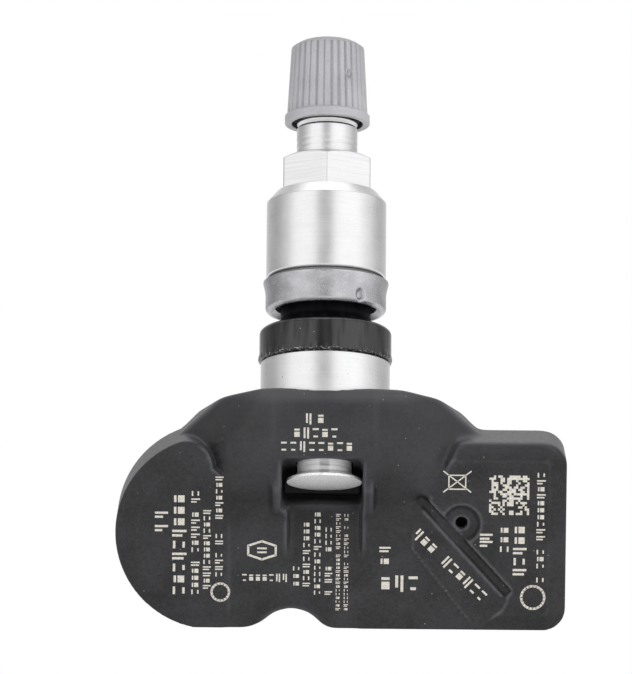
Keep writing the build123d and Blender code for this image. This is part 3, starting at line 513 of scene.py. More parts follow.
class Sheet:
    """A node tree that is filled from Python expressions."""

    def __init__(self, tree):
        self.tree = tree
        tree.nodes.clear()

    def node(self, kind, settings=None, inputs=None, output=0):
        """Add a node, set its settings, then its sockets' values or links, and return one of its outputs."""
        made = self.tree.nodes.new(kind)
        for key, value in (settings or {}).items():
            if key == "stops":
                self.fill_ramp(made.color_ramp, value)
            else:
                setattr(made, key, value)
        for key, value in (inputs or {}).items():
            if isinstance(value, Wire):
                self.tree.links.new(value.socket, made.inputs[key])
            else:
                made.inputs[key].default_value = value
        return Wire(self, made.outputs[output]) if made.outputs else None

    def fill_ramp(self, ramp, stops):
        """Set a ramp's stops, given as pairs of place and grey, with smooth curves between them."""
        ramp.interpolation = "EASE"
        for index, (place_at, grey) in enumerate(stops):
            stop = ramp.elements[index] if index < 2 else ramp.elements.new(place_at)
            stop.position = place_at
            stop.color = (grey, grey, grey, 1.0)

    def axis(self, name):
        """The object coordinate along one axis."""
        return self.node("ShaderNodeSeparateXYZ", None, {0: self.spot(1.0, 1.0, 1.0)}, name)

    def spot(self, *scale):
        """Object coordinates, each axis times its scale."""
        where = self.node("ShaderNodeTexCoord", output="Object")
        return self.node("ShaderNodeVectorMath", {"operation": "MULTIPLY"}, {0: where, 1: scale})

    def far(self, back=0.0):
        """Distance from an upright line that stands that far back."""
        terms = {0: self.spot(1.0, 1.0, 0.0), 1: (0.0, back, 0.0)}
        off = self.node("ShaderNodeVectorMath", {"operation": "SUBTRACT"}, terms)
        return self.node("ShaderNodeVectorMath", {"operation": "LENGTH"}, {0: off}, "Value")

    def noise(self, size, detail=3.0, stretch=(1.0, 1.0, 1.0)):
        """Noise whose features are about that size in metres, stretched along the axes."""
        scale = [1.0 / (size * factor) for factor in stretch]
        inputs = {"Vector": self.spot(*scale), "Scale": 1.0, "Detail": detail}
        return self.node("ShaderNodeTexNoise", None, inputs)

    def step(self, value, low=0.3, high=0.7, start=0.0, end=1.0):
        """A smooth step of a value between low and high, from start to end."""
        inputs = {"Value": value, "From Min": low, "From Max": high, "To Min": start, "To Max": end}
        return self.node("ShaderNodeMapRange", {"interpolation_type": "SMOOTHSTEP"}, inputs)

    def between(self, low, high):
        """1 between two heights along Z, 0 outside."""
        height = self.axis("Z")
        return (height > low) * (height < high)

    def specks(self, spacing, size, keep):
        """1 inside small round specks, about one in each spacing, of which that share is kept."""
        inputs = {"Vector": self.spot(*[1.0 / spacing] * 3), "Scale": 1.0}
        far = self.node("ShaderNodeTexVoronoi", None, inputs, "Distance")
        colour = self.node("ShaderNodeTexVoronoi", None, inputs, "Color")
        pick = self.node("ShaderNodeSeparateColor", None, {0: colour}, "Red")
        return self.step(far, size / spacing, 0.6 * size / spacing) * (pick < keep)

    def mix(self, factor, first, second):
        """A colour between two others."""
        inputs = {0: factor, 6: first, 7: second}
        return self.node("ShaderNodeMix", {"data_type": "RGBA"}, inputs, 2)

    def tones(self, factor, colour, dark, light):
        """A colour between two shades of one colour."""
        return self.mix(factor, shade(colour, dark), shade(colour, light))

    def bump(self, height, depth):
        """A normal from a height between 0 and 1 that stands for depth in metres."""
        return self.node("ShaderNodeBump", None, {"Height": height, "Distance": depth, "Strength": 1.0})

    def surface(self, **sockets):
        """A Principled surface, with underscores in the names standing for spaces."""
        inputs = {key.replace("_", " "): value for key, value in sockets.items()}
        shader = self.node("ShaderNodeBsdfPrincipled", None, inputs)
        self.node("ShaderNodeOutputMaterial", None, {"Surface": shader})

    def glow(self, colour, strength):
        """A surface that shines by itself."""
        shader = self.node("ShaderNodeEmission", None, {"Color": colour, "Strength": strength})
        self.node("ShaderNodeOutputMaterial", None, {"Surface": shader})


def finish_sheet(name):
    """A new material and the sheet that fills it."""
    material = bpy.data.materials.new(name)
    material.use_nodes = True
    return material, Sheet(material.node_tree)


def shade(colour, factor):
    """A colour made darker or lighter, with full alpha."""
    return (*[min(1.0, part * factor) for part in colour], 1.0)


def turned_alloy(name, colour, roughness, pits, painted_shade=None, milled=None):
    """Satin alloy with fine rings from turning, faint clouds and a few dark pits.

    Between two heights it may carry painted shade, for a groove or gap in shade, or the coarser lines of a
    mill.
    """
    material, sheet = finish_sheet(name)
    rings = sheet.noise(0.09 * MM, stretch=(60.0, 60.0, 1.0))
    clouds = sheet.noise(2.5 * MM)
    grain = sheet.noise(0.12 * MM)
    pit = sheet.specks(0.9 * MM, 0.09 * MM, pits)
    tone = sheet.step(rings * 0.3 + clouds * 0.35 + grain * 0.35, 0.36, 0.64)
    plain = sheet.tones(tone, colour, 0.93, 1.045)
    dull = sheet.step(rings * 0.4 + clouds * 0.6, 0.3, 0.7, roughness * 0.9, roughness * 1.12)
    relief = rings * 0.7 + grain * 0.3
    if milled:
        lines = sheet.noise(0.15 * MM, stretch=(60.0, 60.0, 1.0))
        band = sheet.between(*milled)
        plain = sheet.mix(sheet.step(lines, 0.44, 0.66) * band, plain, shade(colour, 0.91))
        relief = relief + lines * band * 2.0
    # Painted shade: darker between two heights, where a groove or gap lies in shade
    if painted_shade:
        low, high, darker = painted_shade
        band = sheet.between(low, high)
        plain = sheet.mix(band, plain, shade(colour, darker))
        dull = dull + band * 0.3
    sheet.surface(
        Base_Color=sheet.mix(pit, plain, shade(colour, 0.30)),
        Metallic=1.0,
        Roughness=dull,
        Normal=sheet.bump(relief - pit * 3.0, 0.0008 * MM),
    )
    return material


def tumbled_alloy(name, colour, roughness):
    """Dull alloy with the speckled skin of tumbling."""
    material, sheet = finish_sheet(name)
    clouds = sheet.noise(2.2 * MM)
    speckle = sheet.noise(0.15 * MM)
    glint = sheet.specks(0.45 * MM, 0.06 * MM, 0.30)
    plain = sheet.tones(sheet.step(clouds * 0.6 + speckle * 0.4, 0.36, 0.64), colour, 0.84, 1.16)
    sheet.surface(
        Base_Color=sheet.mix(glint, plain, shade(colour, 1.6)),
        Metallic=1.0,
        Roughness=sheet.step(speckle, 0.3, 0.7, roughness * 0.85, roughness * 1.2),
        Normal=sheet.bump(speckle * 0.8 + clouds * 0.2, 0.004 * MM),
    )
    return material


def grainy_alloy(name, colour, face):
    """Alloy that is turned above a height, and below it has a face of coarse bright and dark grains.

    Both scatter light more than they mirror it. The turned part has a painted dark reflection down its
    middle.
    """
    material, sheet = finish_sheet(name)
    grains = sheet.noise(0.20 * MM)
    rings = sheet.noise(0.16 * MM, 2.0, (40.0, 40.0, 1.0))
    rough = sheet.between(-1.0, face)
    across = sheet.axis("X")
    # Painted reflection: a dark upright stripe down the middle of the turned part
    middle = sheet.step(across * across, (0.8 * MM) ** 2, (0.3 * MM) ** 2)
    turned = sheet.tones(sheet.step(rings, 0.36, 0.58), colour, 1.15, 1.43)
    turned = sheet.mix(middle * sheet.step(rings, 0.30, 0.60, 0.8, 0.3), turned, shade(colour, 0.25))
    grainy = sheet.tones(sheet.step(grains, 0.34, 0.62), colour, 0.95, 1.42)
    sheet.surface(
        Base_Color=sheet.mix(rough, turned, grainy),
        Roughness=sheet.step(grains, 0.3, 0.7, 0.30, 0.46) + rough * 0.15,
        Normal=sheet.bump(grains * rough, 0.02 * MM),
    )
    return material


def moulded_rubber(name, colour, glint_band=None):
    """Black rubber with upright flow marks and pale dust, shiny below the rim's face and dull above it.

    Between two heights it may carry painted glints: pale spots along the lip that stand in for caught light.
    """
    material, sheet = finish_sheet(name)
    flow = sheet.noise(0.9 * MM, stretch=(1.0, 1.0, 6.0))
    grain = sheet.noise(0.10 * MM)
    pale = sheet.specks(0.8 * MM, 0.085 * MM, 0.25)
    if glint_band:
        # Painted highlight: pale glints along the lip, mixed in with the dust specks
        glint_noise = sheet.noise(0.30 * MM, 2.0, (1.0, 1.0, 0.6))
        pale = pale | sheet.step(glint_noise, 0.56, 0.66) * sheet.between(*glint_band)
    plain = sheet.tones(sheet.step(flow, 0.35), colour, 0.7, 1.8)
    sheet.surface(
        Base_Color=sheet.mix(pale, plain, (0.30, 0.30, 0.29, 1.0)),
        Roughness=sheet.step(flow * 0.6 + grain * 0.4, 0.3, 0.7, 0.30, 0.45),
        Specular_IOR_Level=0.06,
        Coat_Weight=sheet.between(-1.0, 0.02 * MM) * sheet.step(flow, 0.3, 0.6, 0.42, 0.66),
        Coat_Roughness=0.13,
        Coat_IOR=1.85,
        Normal=sheet.bump(grain * 0.6 + flow * 0.4, 0.002 * MM),
    )
    return material


def moulded_plastic(
    name, colour, roughness, grain_size, grain_depth, gloss=0.5, contrast=0.14, mouth_shade=None, worn=None
):
    """Moulded plastic with a spark-eroded grain, faint clouds and a little dust.

    A mouth, given by its radius and height, gets painted shade inside. An attribute of the mesh may tell
    where painted light makes the plastic paler.
    """
    material, sheet = finish_sheet(name)
    grain = sheet.noise(grain_size) * 0.6 + sheet.noise(2.2 * grain_size, 2.0) * 0.4
    clouds = sheet.noise(5.0 * MM)
    dust = sheet.specks(0.9 * MM, 0.08 * MM, 0.22)
    tone = sheet.step(grain * 0.55 + clouds * 0.45, 0.32, 0.68)
    plain = sheet.tones(tone, colour, 1.0 - contrast, 1.0 + contrast)
    if mouth_shade:
        inner, low = mouth_shade
        # Painted shade inside the cap's mouth, where the recess lies in shade
        mouth = (sheet.far() < inner + 0.03 * MM) * sheet.between(low + 0.08 * MM, low + 1.2 * MM)
        plain = sheet.mix(mouth, plain, shade(colour, 0.12))
    if worn:
        # Painted light: paler wherever the mesh attribute says the surface would catch light
        painted_light = sheet.node("ShaderNodeAttribute", {"attribute_name": worn}, None, "Fac")
        plain = sheet.mix(painted_light, plain, shade(colour, 3.6))
    sheet.surface(
        Base_Color=sheet.mix(dust, plain, shade([part * 0.4 + 0.22 for part in colour], 1.0)),
        Roughness=sheet.step(grain, 0.3, 0.7, roughness * 0.9, roughness * 1.12),
        Specular_IOR_Level=gloss,
        Normal=sheet.bump(grain, grain_depth),
    )
    return material


def laser_mark(name, colour):
    """Pale foamed plastic of a laser mark, a little uneven."""
    material, sheet = finish_sheet(name)
    foam = sheet.noise(0.16 * MM)
    sheet.surface(
        Base_Color=sheet.tones(sheet.step(foam), colour, 0.72, 1.12),
        Roughness=0.85,
        Normal=sheet.bump(foam, 0.01 * MM),
    )
    return material


def drawn_metal(name, colour, roughness):
    """Stamped or drawn metal with fine streaks along X and a soft tarnish."""
    material, sheet = finish_sheet(name)
    streaks = sheet.noise(0.08 * MM, 2.0, (20.0, 1.0, 1.0))
    tarnish = sheet.noise(1.2 * MM)
    sheet.surface(
        Base_Color=sheet.tones(sheet.step(streaks * 0.4 + tarnish * 0.6), colour, 0.78, 1.08),
        Metallic=1.0,
        Roughness=sheet.step(streaks, 0.3, 0.7, roughness * 0.8, roughness * 1.3),
        Normal=sheet.bump(streaks, 0.003 * MM),
    )
    return material


def lacquered_board(name, colour):
    """Green lacquer over copper tracks, with small pads."""
    material, sheet = finish_sheet(name)
    inputs = {"Vector": sheet.spot(*[1.0 / (1.7 * MM)] * 3), "Scale": 1.0}
    edge = sheet.node("ShaderNodeTexVoronoi", {"feature": "DISTANCE_TO_EDGE"}, inputs)
    track = sheet.step(edge, 0.10, 0.06)
    pad = sheet.specks(2.1 * MM, 0.35 * MM, 0.35)
    weave = sheet.noise(0.25 * MM, 2.0)
    green = sheet.mix(track, sheet.tones(sheet.step(weave), colour, 0.85, 1.1), shade(colour, 1.7))
    sheet.surface(
        Base_Color=sheet.mix(pad, green, (0.74, 0.60, 0.30, 1.0)),
        Roughness=sheet.step(weave, 0.3, 0.7, 0.28, 0.40),
        Normal=sheet.bump(track * 0.7 + weave * 0.3, 0.02 * MM),
    )
    return material


def fired_block(name, colour, end_colour):
    """Small fired parts: a dull body with a fine grain and tinned patches."""
    material, sheet = finish_sheet(name)
    grain = sheet.noise(0.12 * MM)
    tinned = sheet.step(sheet.noise(0.9 * MM, 1.0), 0.56, 0.60)
    plain = sheet.tones(sheet.step(grain), colour, 0.8, 1.15)
    sheet.surface(
        Base_Color=sheet.mix(tinned, plain, shade(end_colour, 1.0)),
        Metallic=tinned,
        Roughness=sheet.step(grain, 0.3, 0.7, 0.45, 0.65),
        Normal=sheet.bump(grain, 0.008 * MM),
    )
    return material


class SENSOR_OT_stem(bpy.types.Operator):
    """Turn the stem: thread, groove, flange and ball, bored for the core and the foot"""

    bl_idname = "sensor.stem"
    bl_label = "Valve stem"

    def execute(self, context):
        size = context.scene.sensor_stem
        finish = context.scene.sensor_finish
        swing = np.linspace(0.0, np.arccos(size.neck_radius / size.base_radius), 25)[::-1]
        ball = (0.0, size.pivot) + size.base_radius * np.column_stack([np.cos(swing), -np.sin(swing)])
        groove = size.radius - size.relief_depth
        corners = [
            (size.base_radius, size.pivot + 0.3 * MM),
            (size.base_radius, size.base_top - size.base_edge),
            (size.base_radius - size.base_edge, size.base_top),
            (size.radius, size.base_top),
            (size.radius, size.relief_top - size.relief_height),
            (groove, size.relief_top - size.relief_height),
            (groove, size.relief_top),
            (size.radius, size.relief_top + size.relief_cone),
            (size.radius, size.top - size.tip_chamfer),
            (size.radius - size.tip_chamfer, size.top),
            (size.mouth_radius, size.top),
            (size.mouth_radius, size.top - size.mouth_depth),
            (size.chamber_radius, size.top - size.mouth_depth),
            (size.chamber_radius, size.top - size.chamber_depth),
            (size.air_radius, size.top - size.chamber_depth - size.chamber_radius + size.air_radius),
            (size.air_radius, size.shank_top),
            (size.shank_radius, size.shank_top),
            (size.shank_radius, size.bottom),
        ]
        wall = eased(corners, size.ease, closed=False)
        steps = np.arange(size.thread_bottom, size.thread_top, size.thread_pitch / 10)
        outline = dense(np.vstack([ball, wall]), steps)
        turn = full_turn(160)
        radius, height = outline.T[:, :, None]
        phase = 2 * pi * height / size.thread_pitch - turn
        worn = soft_step(height, size.thread_bottom, size.thread_bottom + MM) * soft_step(
            height, size.thread_top, size.thread_top - MM
        )
        outside = np.abs(radius - size.radius) < 0.01 * MM
        radius = radius - size.thread_depth * worn * outside * (0.5 + 0.5 * np.cos(phase)) ** 2
        mesh = grid_mesh("valve_stem_turned", around(radius, height, turn), True)
        material = turned_alloy(
            "stem_alloy_satin",
            finish.alloy,
            finish.alloy_roughness,
            pits=0.22,
            # Painted shade in the groove below the cap
            painted_shade=(size.relief_top - size.relief_height, size.relief_top, 0.08),
        )
        place(mesh, VALVE, material, "stem_alloy", "valve_stem")
        return {"FINISHED"}


class SENSOR_OT_seal(bpy.types.Operator):
    """Mould the rubber seal: a flange with a wavy lip and the neck for the rim's hole"""

    bl_idname = "sensor.seal"
    bl_label = "Rim seal"

    def execute(self, context):
        size = context.scene.sensor_seal
        finish = context.scene.sensor_finish
        corners = [
            (size.bore_radius, size.bottom),
            (size.lip_radius, size.bottom),
            (size.lip_radius, size.bottom + size.lip_height),
            (size.radius, size.bottom + 2 * size.lip_height),
            (size.radius, -size.edge),
            (size.radius - size.edge, 0.0),
            (size.root_radius, 0.0),
            (size.neck_radius, size.root_height),
            (size.neck_radius, size.neck_height),
            (size.tip_radius, size.top),
            (size.bore_radius, size.top),
        ]
        outline = eased(corners, size.ease)
        turn = full_turn(240)
        radius, height = outline.T[:, :, None]
        # Three waves around the lip, so that it wanders without a plain rhythm
        wave = np.sin(9 * turn + 1.3) + 0.7 * np.sin(31 * turn) + 0.7 * np.sin(53 * turn + 0.7)
        low = soft_step(height, size.bottom + 2 * size.lip_height, size.bottom + size.lip_height)
        outer = soft_step(radius, size.radius - size.lip_height, size.radius)
        radius = radius - size.lip_wave * low * outer * (1.0 + 0.5 * wave)
        mesh = grid_mesh("rim_seal_moulded", around(radius, height, turn), True)
        # Painted glints along the lowest part of the lip
        glint_band = (size.bottom - 0.02 * MM, size.bottom + 0.30 * MM)
        material = moulded_rubber("seal_rubber_black", finish.rubber, glint_band)
        place(mesh, VALVE, material, "seal_rubber", "rim_seal")
        return {"FINISHED"}


class SENSOR_OT_washer(bpy.types.Operator):
    """Turn the washer: a lipped ring over the seal's neck, with one small dimple in its wall"""

    bl_idname = "sensor.washer"
    bl_label = "Nut washer"

    def execute(self, context):
        size = context.scene.sensor_washer
        finish = context.scene.sensor_finish
        recess_top = size.bottom + size.recess_depth
        corners = [
            (size.mouth_radius, size.bottom),
            (size.radius - size.rounding, size.bottom),
            (size.radius, size.bottom + size.rounding),
            (size.radius, size.top - size.lip_rise),
            (size.lip_radius, size.top - size.lip_height),
            (size.lip_radius, size.top),
            (size.bore_radius, size.top),
            (size.bore_radius, recess_top),
            (size.recess_radius, recess_top),
            (size.recess_radius, size.bottom + size.mouth_height),
        ]
        # How far each of these edges is rounded
        eases = np.array([0.04, 0.3, 0.3, 0.55, 0.05, 0.05, 0.1, 0.1, 0.1, 0.1])[:, None] * MM
        outline = eased(corners, eases)
        low = size.dimple_height - 2 * size.dimple_rise
        outline = dense(outline, np.arange(low, low + 4 * size.dimple_rise, size.dimple_rise / 8))
        spread = 2 * size.dimple_width / size.radius
        turn = full_turn(200, size.dimple_turn + np.linspace(-spread, spread, 33))
        radius, height = outline.T[:, :, None]
        across = (turn - size.dimple_turn) * size.radius / size.dimple_width
        away = np.hypot(across, (height - size.dimple_height) / size.dimple_rise)
        outer = radius > size.mouth_radius + 0.1 * MM
        radius = radius - size.dimple_depth * bump_curve(away) * outer
        mesh = grid_mesh("nut_washer_turned", around(radius, height, turn), True)
        material = tumbled_alloy("washer_alloy_tumbled", finish.washer, finish.washer_roughness)
        place(mesh, WASHER, material, "washer_alloy", "nut_washer")
        return {"FINISHED"}


class SENSOR_OT_nut(bpy.types.Operator):
    """Turn the nut: a round body, a cone and a hexagon whose chamfer runs out in curves"""

    bl_idname = "sensor.nut"
    bl_label = "Valve nut"

    def side(self, size, hexagon_radius):
        """Outline of the nut where the hexagon stands that far out."""
        body_foot = size.bottom + size.seat_height
        body_top = body_foot + size.body_height
        hexagon_foot = body_top + size.shoulder_height
        chamfer_foot = size.top - (hexagon_radius - size.top_radius) * tan(size.chamfer)
        relief_top = size.bottom + size.relief_depth
        bore_foot = relief_top + size.relief_radius - size.bore_radius
        corners = [
            (size.relief_radius, size.bottom),
            (size.seat_radius, size.bottom),
            (size.seat_radius, body_foot),
            (size.radius - size.body_edge, body_foot),
            (size.radius, body_foot + size.body_edge),
            (size.radius, body_top),
            (size.shoulder_radius, hexagon_foot),
            (hexagon_radius, hexagon_foot),
            (hexagon_radius, chamfer_foot),
            (size.top_radius, size.top),
            (size.bore_radius + size.mouth_chamfer, size.top),
            (size.bore_radius, size.top - size.mouth_chamfer),
            (size.bore_radius, bore_foot),
            (size.relief_radius, relief_top),
        ]
        return eased(corners, size.ease)

    def execute(self, context):
        size = context.scene.sensor_nut
        finish = context.scene.sensor_finish
        flat = size.across_flats / 2
        corner = size.shoulder_radius - size.corner_gap
        flat_side = self.side(size, flat)[:, None]
        corner_side = self.side(size, corner)[:, None]
        corners = np.arange(6)[:, None] * pi / 3 - pi / 2 + radians(3.0) * np.linspace(-1, 1, 13)
        turn = full_turn(192, corners.ravel())
        # A hexagon with slightly rounded corners is a high power mean of three pairs of flats
        power = 90.0
        faces = np.abs(np.cos(turn[:, None] - np.arange(3) * pi / 3))
        reach = flat * np.sum(faces**power, axis=1) ** (-1 / power)
        weight = np.clip((reach - flat) / (corner - flat), 0.0, 1.0)[None, :, None]
        blended = flat_side + (corner_side - flat_side) * weight
        mesh = grid_mesh("valve_nut_turned", around(blended[..., 0], blended[..., 1], turn), True)
        hexagon_foot = size.bottom + size.seat_height + size.body_height + size.shoulder_height
        material = turned_alloy(
            "nut_alloy_satin",
            finish.alloy,
            finish.alloy_roughness,
            pits=0.03,
            # Painted shade on the seat ring, in the gap under the nut's body
            painted_shade=(size.bottom, size.bottom + size.seat_height + 0.02 * MM, 0.42),
            milled=(hexagon_foot, size.top),
        )
        place(mesh, NUT, material, "nut_alloy", "valve_nut")
        return {"FINISHED"}


class SENSOR_OT_cap(bpy.types.Operator):
    """Mould the cap: a lip, a taper with narrow flutes and a rounded head"""

    bl_idname = "sensor.cap"
    bl_label = "Valve cap"

    def execute(self, context):
        size = context.scene.sensor_cap
        finish = context.scene.sensor_finish
        lip_top = size.bottom + size.lip_height
        corners = [
            (0.0, size.ceiling),
            (size.bore_radius, size.ceiling),
            (size.bore_radius, size.bottom + size.mouth_depth),
            (size.mouth_radius, size.bottom + size.mouth_depth - 0.1 * MM),
            (size.mouth_radius, size.bottom),
            (size.lip_radius, size.bottom),
            (size.lip_radius, lip_top),
            (size.foot_radius, lip_top),
            (size.head_radius, size.shoulder),
            (size.head_radius - size.rounding, size.shoulder + 0.7 * size.rounding),
        ]
        inside = eased(corners, size.ease, closed=False)
        edge_radius, edge_height = inside[-1]
        head_radius = np.linspace(edge_radius, 0.0, 16)[1:]
        head_height = edge_height + (size.top - edge_height) * (1.0 - (head_radius / edge_radius) ** 4)
        outline = np.vstack([inside, np.column_stack([head_radius, head_height])])
        outline = dense(outline, np.arange(lip_top, size.shoulder, 0.22 * MM))
        outline = dense(outline, np.arange(size.dent_height - MM, size.dent_height + MM, 0.06 * MM))
        # The outline ends on the axis, so points on the side that would close it are dropped
        outline = outline[: 1 + np.argmax(outline[:, 1])]
        spread = 2.5 * size.dent_radius / size.foot_radius
        turn = full_turn(16 * size.flutes, size.dent_turn + np.linspace(-spread, spread, 25))
        radius, height = outline.T[:, :, None]
        pitch = 2 * pi / size.flutes
        off = np.abs(np.mod(turn + pi / 2, pitch) - pitch / 2) * size.foot_radius
        uneven = np.random.default_rng(5).uniform(0.65, 1.30, size.flutes)
        uneven = uneven[((turn + pi / 2) / pitch).astype(int) % size.flutes]
        groove = np.clip(1.0 - off / (size.flute_width * uneven), 0.0, 1.0) * np.minimum(uneven, 1.0)
        run = soft_step(height, lip_top + 0.05 * MM, lip_top + 0.35 * MM) * soft_step(
            height, size.shoulder + 0.8 * size.rounding, size.shoulder
        )
        outer = radius > size.mouth_radius + 0.05 * MM
        # The dent is a ring, half as tall again as wide
        across = (turn - size.dent_turn) * size.foot_radius
        away = np.hypot(across, (height - size.dent_height) / 1.5) / size.dent_radius
        dent = np.exp(-(((away - 0.8) / 0.3) ** 2))
        radius = radius - (size.flute_depth * groove * run + size.dent_depth * dent) * outer
        mesh = grid_mesh("valve_cap_moulded", around(radius, height, turn), False)
        material = moulded_plastic(
            "cap_plastic_grey",
            finish.cap,
            finish.cap_roughness,
            finish.cap_grain,
            finish.cap_grain_depth,
            # Painted shade inside the mouth
            mouth_shade=(size.mouth_radius, size.bottom),
        )
        place(mesh, CAP, material, "cap_plastic", "valve_cap")
        return {"FINISHED"}


class SENSOR_OT_housing(bpy.types.Operator):
    """Mould the housing with soft edges from its solid, and give it and its cover their grained plastic"""

    bl_idname = "sensor.housing"
    bl_label = "Housing"

    def execute(self, context):
        size = context.scene.sensor_housing
        finish = context.scene.sensor_finish
        plastic = moulded_plastic(
            "housing_plastic_charcoal",
            finish.housing,
            finish.housing_roughness,
            finish.housing_grain,
            finish.housing_grain_depth,
            gloss=0.35,
            contrast=0.55,
            worn="worn",
        )
        paint(frame["nodes"]["back_cover"], plastic)
        mesh = self.skin(size)
        points = read(mesh.vertices, "co", 3)
        edges = read(mesh.edges, "vertices", 2, int)
        face = context.scene.sensor_marks
        rise = points[:, 2] - face.pivot
        u = points[:, 0]
        w = rise * cos(face.lean) - points[:, 1] * sin(face.lean)
        cup = soft_step(np.sqrt(u**2 + points[:, 1] ** 2 + rise**2), size.cup, size.cup + MM)
        pull = self.softness(size, u, w) * cup
        points = relaxed(points, edges, pull[:, None], size.rounds)
        mesh.vertices.foreach_set("co", points.ravel())
        mesh.update()
        normals = read(mesh.vertex_normals, "vector", 3)
        # Painted light: pale edges, up-facing walls, the dome, its rim and the column's edges, kept as a mesh
        # attribute
        painted_light = self.wear(size, points, normals, edges) * self.inside(size, u, w)
        worn = mesh.attributes.new("worn", "FLOAT", "POINT")
        pale = np.maximum.reduce([painted_light, self.dust(size, face, normals), self.handled(size, u, w)])
        worn.data.foreach_set("value", pale * cup)
        mesh.shade_smooth()
        piece = place(mesh, SENSOR, plastic, "housing_plastic", "housing")
        thin = piece.modifiers.new("fewer_faces", "DECIMATE")
        thin.ratio = size.kept
        return {"FINISHED"}

    def skin(self, size):
        """An even skin of small squares around a joined copy of the solid's loose triangles."""
        work = bmesh.new()
        work.from_mesh(frame["nodes"]["housing"].data)
        bmesh.ops.remove_doubles(work, verts=work.verts, dist=MM * 1e-3)
        joined = bpy.data.meshes.new("housing_joined")
        work.to_mesh(joined)
        work.free()
        former = bpy.data.objects.new("housing_joined", joined)
        bpy.context.scene.collection.objects.link(former)
        grid = former.modifiers.new("skin", "REMESH")
        grid.mode = "VOXEL"
        grid.voxel_size = size.cell
        graph = bpy.context.evaluated_depsgraph_get()
        mesh = bpy.data.meshes.new_from_object(former.evaluated_get(graph))
        mesh.name = "housing_moulded"
        mesh.materials.clear()
        bpy.data.objects.remove(former)
        bpy.data.meshes.remove(joined)
        return mesh

    def softness(self, size, u, w):
        """How soft each point is, most on the dome and least on the lobes."""
        beside = soft_step(np.abs(u), size.dome_side - MM, size.dome_side)
        dome = beside * soft_step(w, size.dome_bottom, size.dome_bottom + 2.5 * MM)
        pull = size.soft + (size.dome_soft - size.soft) * dome
        return pull + (size.face_soft - pull) * self.lobes(size, u, w)

    def lobes(self, size, u, w):
        """1 on the round and the square lobe, 0 elsewhere, with u to the right and w up the printed face."""
        reach = np.hypot(u - size.lobe_u, w - size.lobe_w)
        left = soft_step(reach, size.lobe_radius + 0.6 * MM, size.lobe_radius)
        left = left * soft_step(u, size.lobe_side + MM, size.lobe_side)
        right = soft_step(u - size.square_lean * w, size.square_side - MM, size.square_side)
        right = right * soft_step(w, size.square_top + 1.7 * MM, size.square_top)
        return np.maximum(left, right)

    def dust(self, size, face, normals):
        """How much painted light each point gets: walls that stand across the printed face and look up it are
        made paler, as if lit from above.
        """
        up = normals[:, 2] * cos(face.lean) - normals[:, 1] * sin(face.lean)
        out = -normals[:, 1] * cos(face.lean) - normals[:, 2] * sin(face.lean)
        return size.dusty * soft_step(up, -0.2, 0.5) * soft_step(out, 0.7, 0.3)

    def handled(self, size, u, w):
        """How much painted light each point gets: the dome a little, its rounded rim and the column's edges
        more.
        """
        dome = size.dome_light * soft_step(w, -13.0 * MM, -4.0 * MM) * (1.0 - self.lobes(size, u, w))
        rim = size.rim_light * soft_step(w, size.rim - 2.0 * MM, size.rim)
        crease = np.exp(-(((np.abs(u) - size.crease) / size.crease_width) ** 2))
        return dome + rim + size.crease_light * crease * soft_step(w, -7.0 * MM, -2.5 * MM)

    def wear(self, size, points, normals, edges):
        """How much painted highlight each edge gets, 0 to 1, from how sharply the skin bends outwards there.

        On a grid of that cell, a bend of radius r lifts a point over its neighbours' mean by cell^2 / 4r.
        """
        lift = np.sum((points - neighbour_mean(points, edges)) * normals, axis=1)
        bend = relaxed(4 * lift[:, None] / size.cell**2, edges, 0.5, 1)[:, 0]
        return soft_step(bend, 0.15 / MM, 1.3 / MM)

    def inside(self, size, u, w):
        """1 on the printed face, falling to 0 towards the housing's round, lower and right outline."""
        left = size.lobe_radius - np.hypot(np.minimum(u - size.lobe_u, 0.0), w - size.lobe_w)
        room = np.minimum(size.right - u, w - size.bottom)
        room = np.where(u < size.lobe_u, np.minimum(room, left), room)
        return soft_step(room, 0.7 * MM, 1.6 * MM)


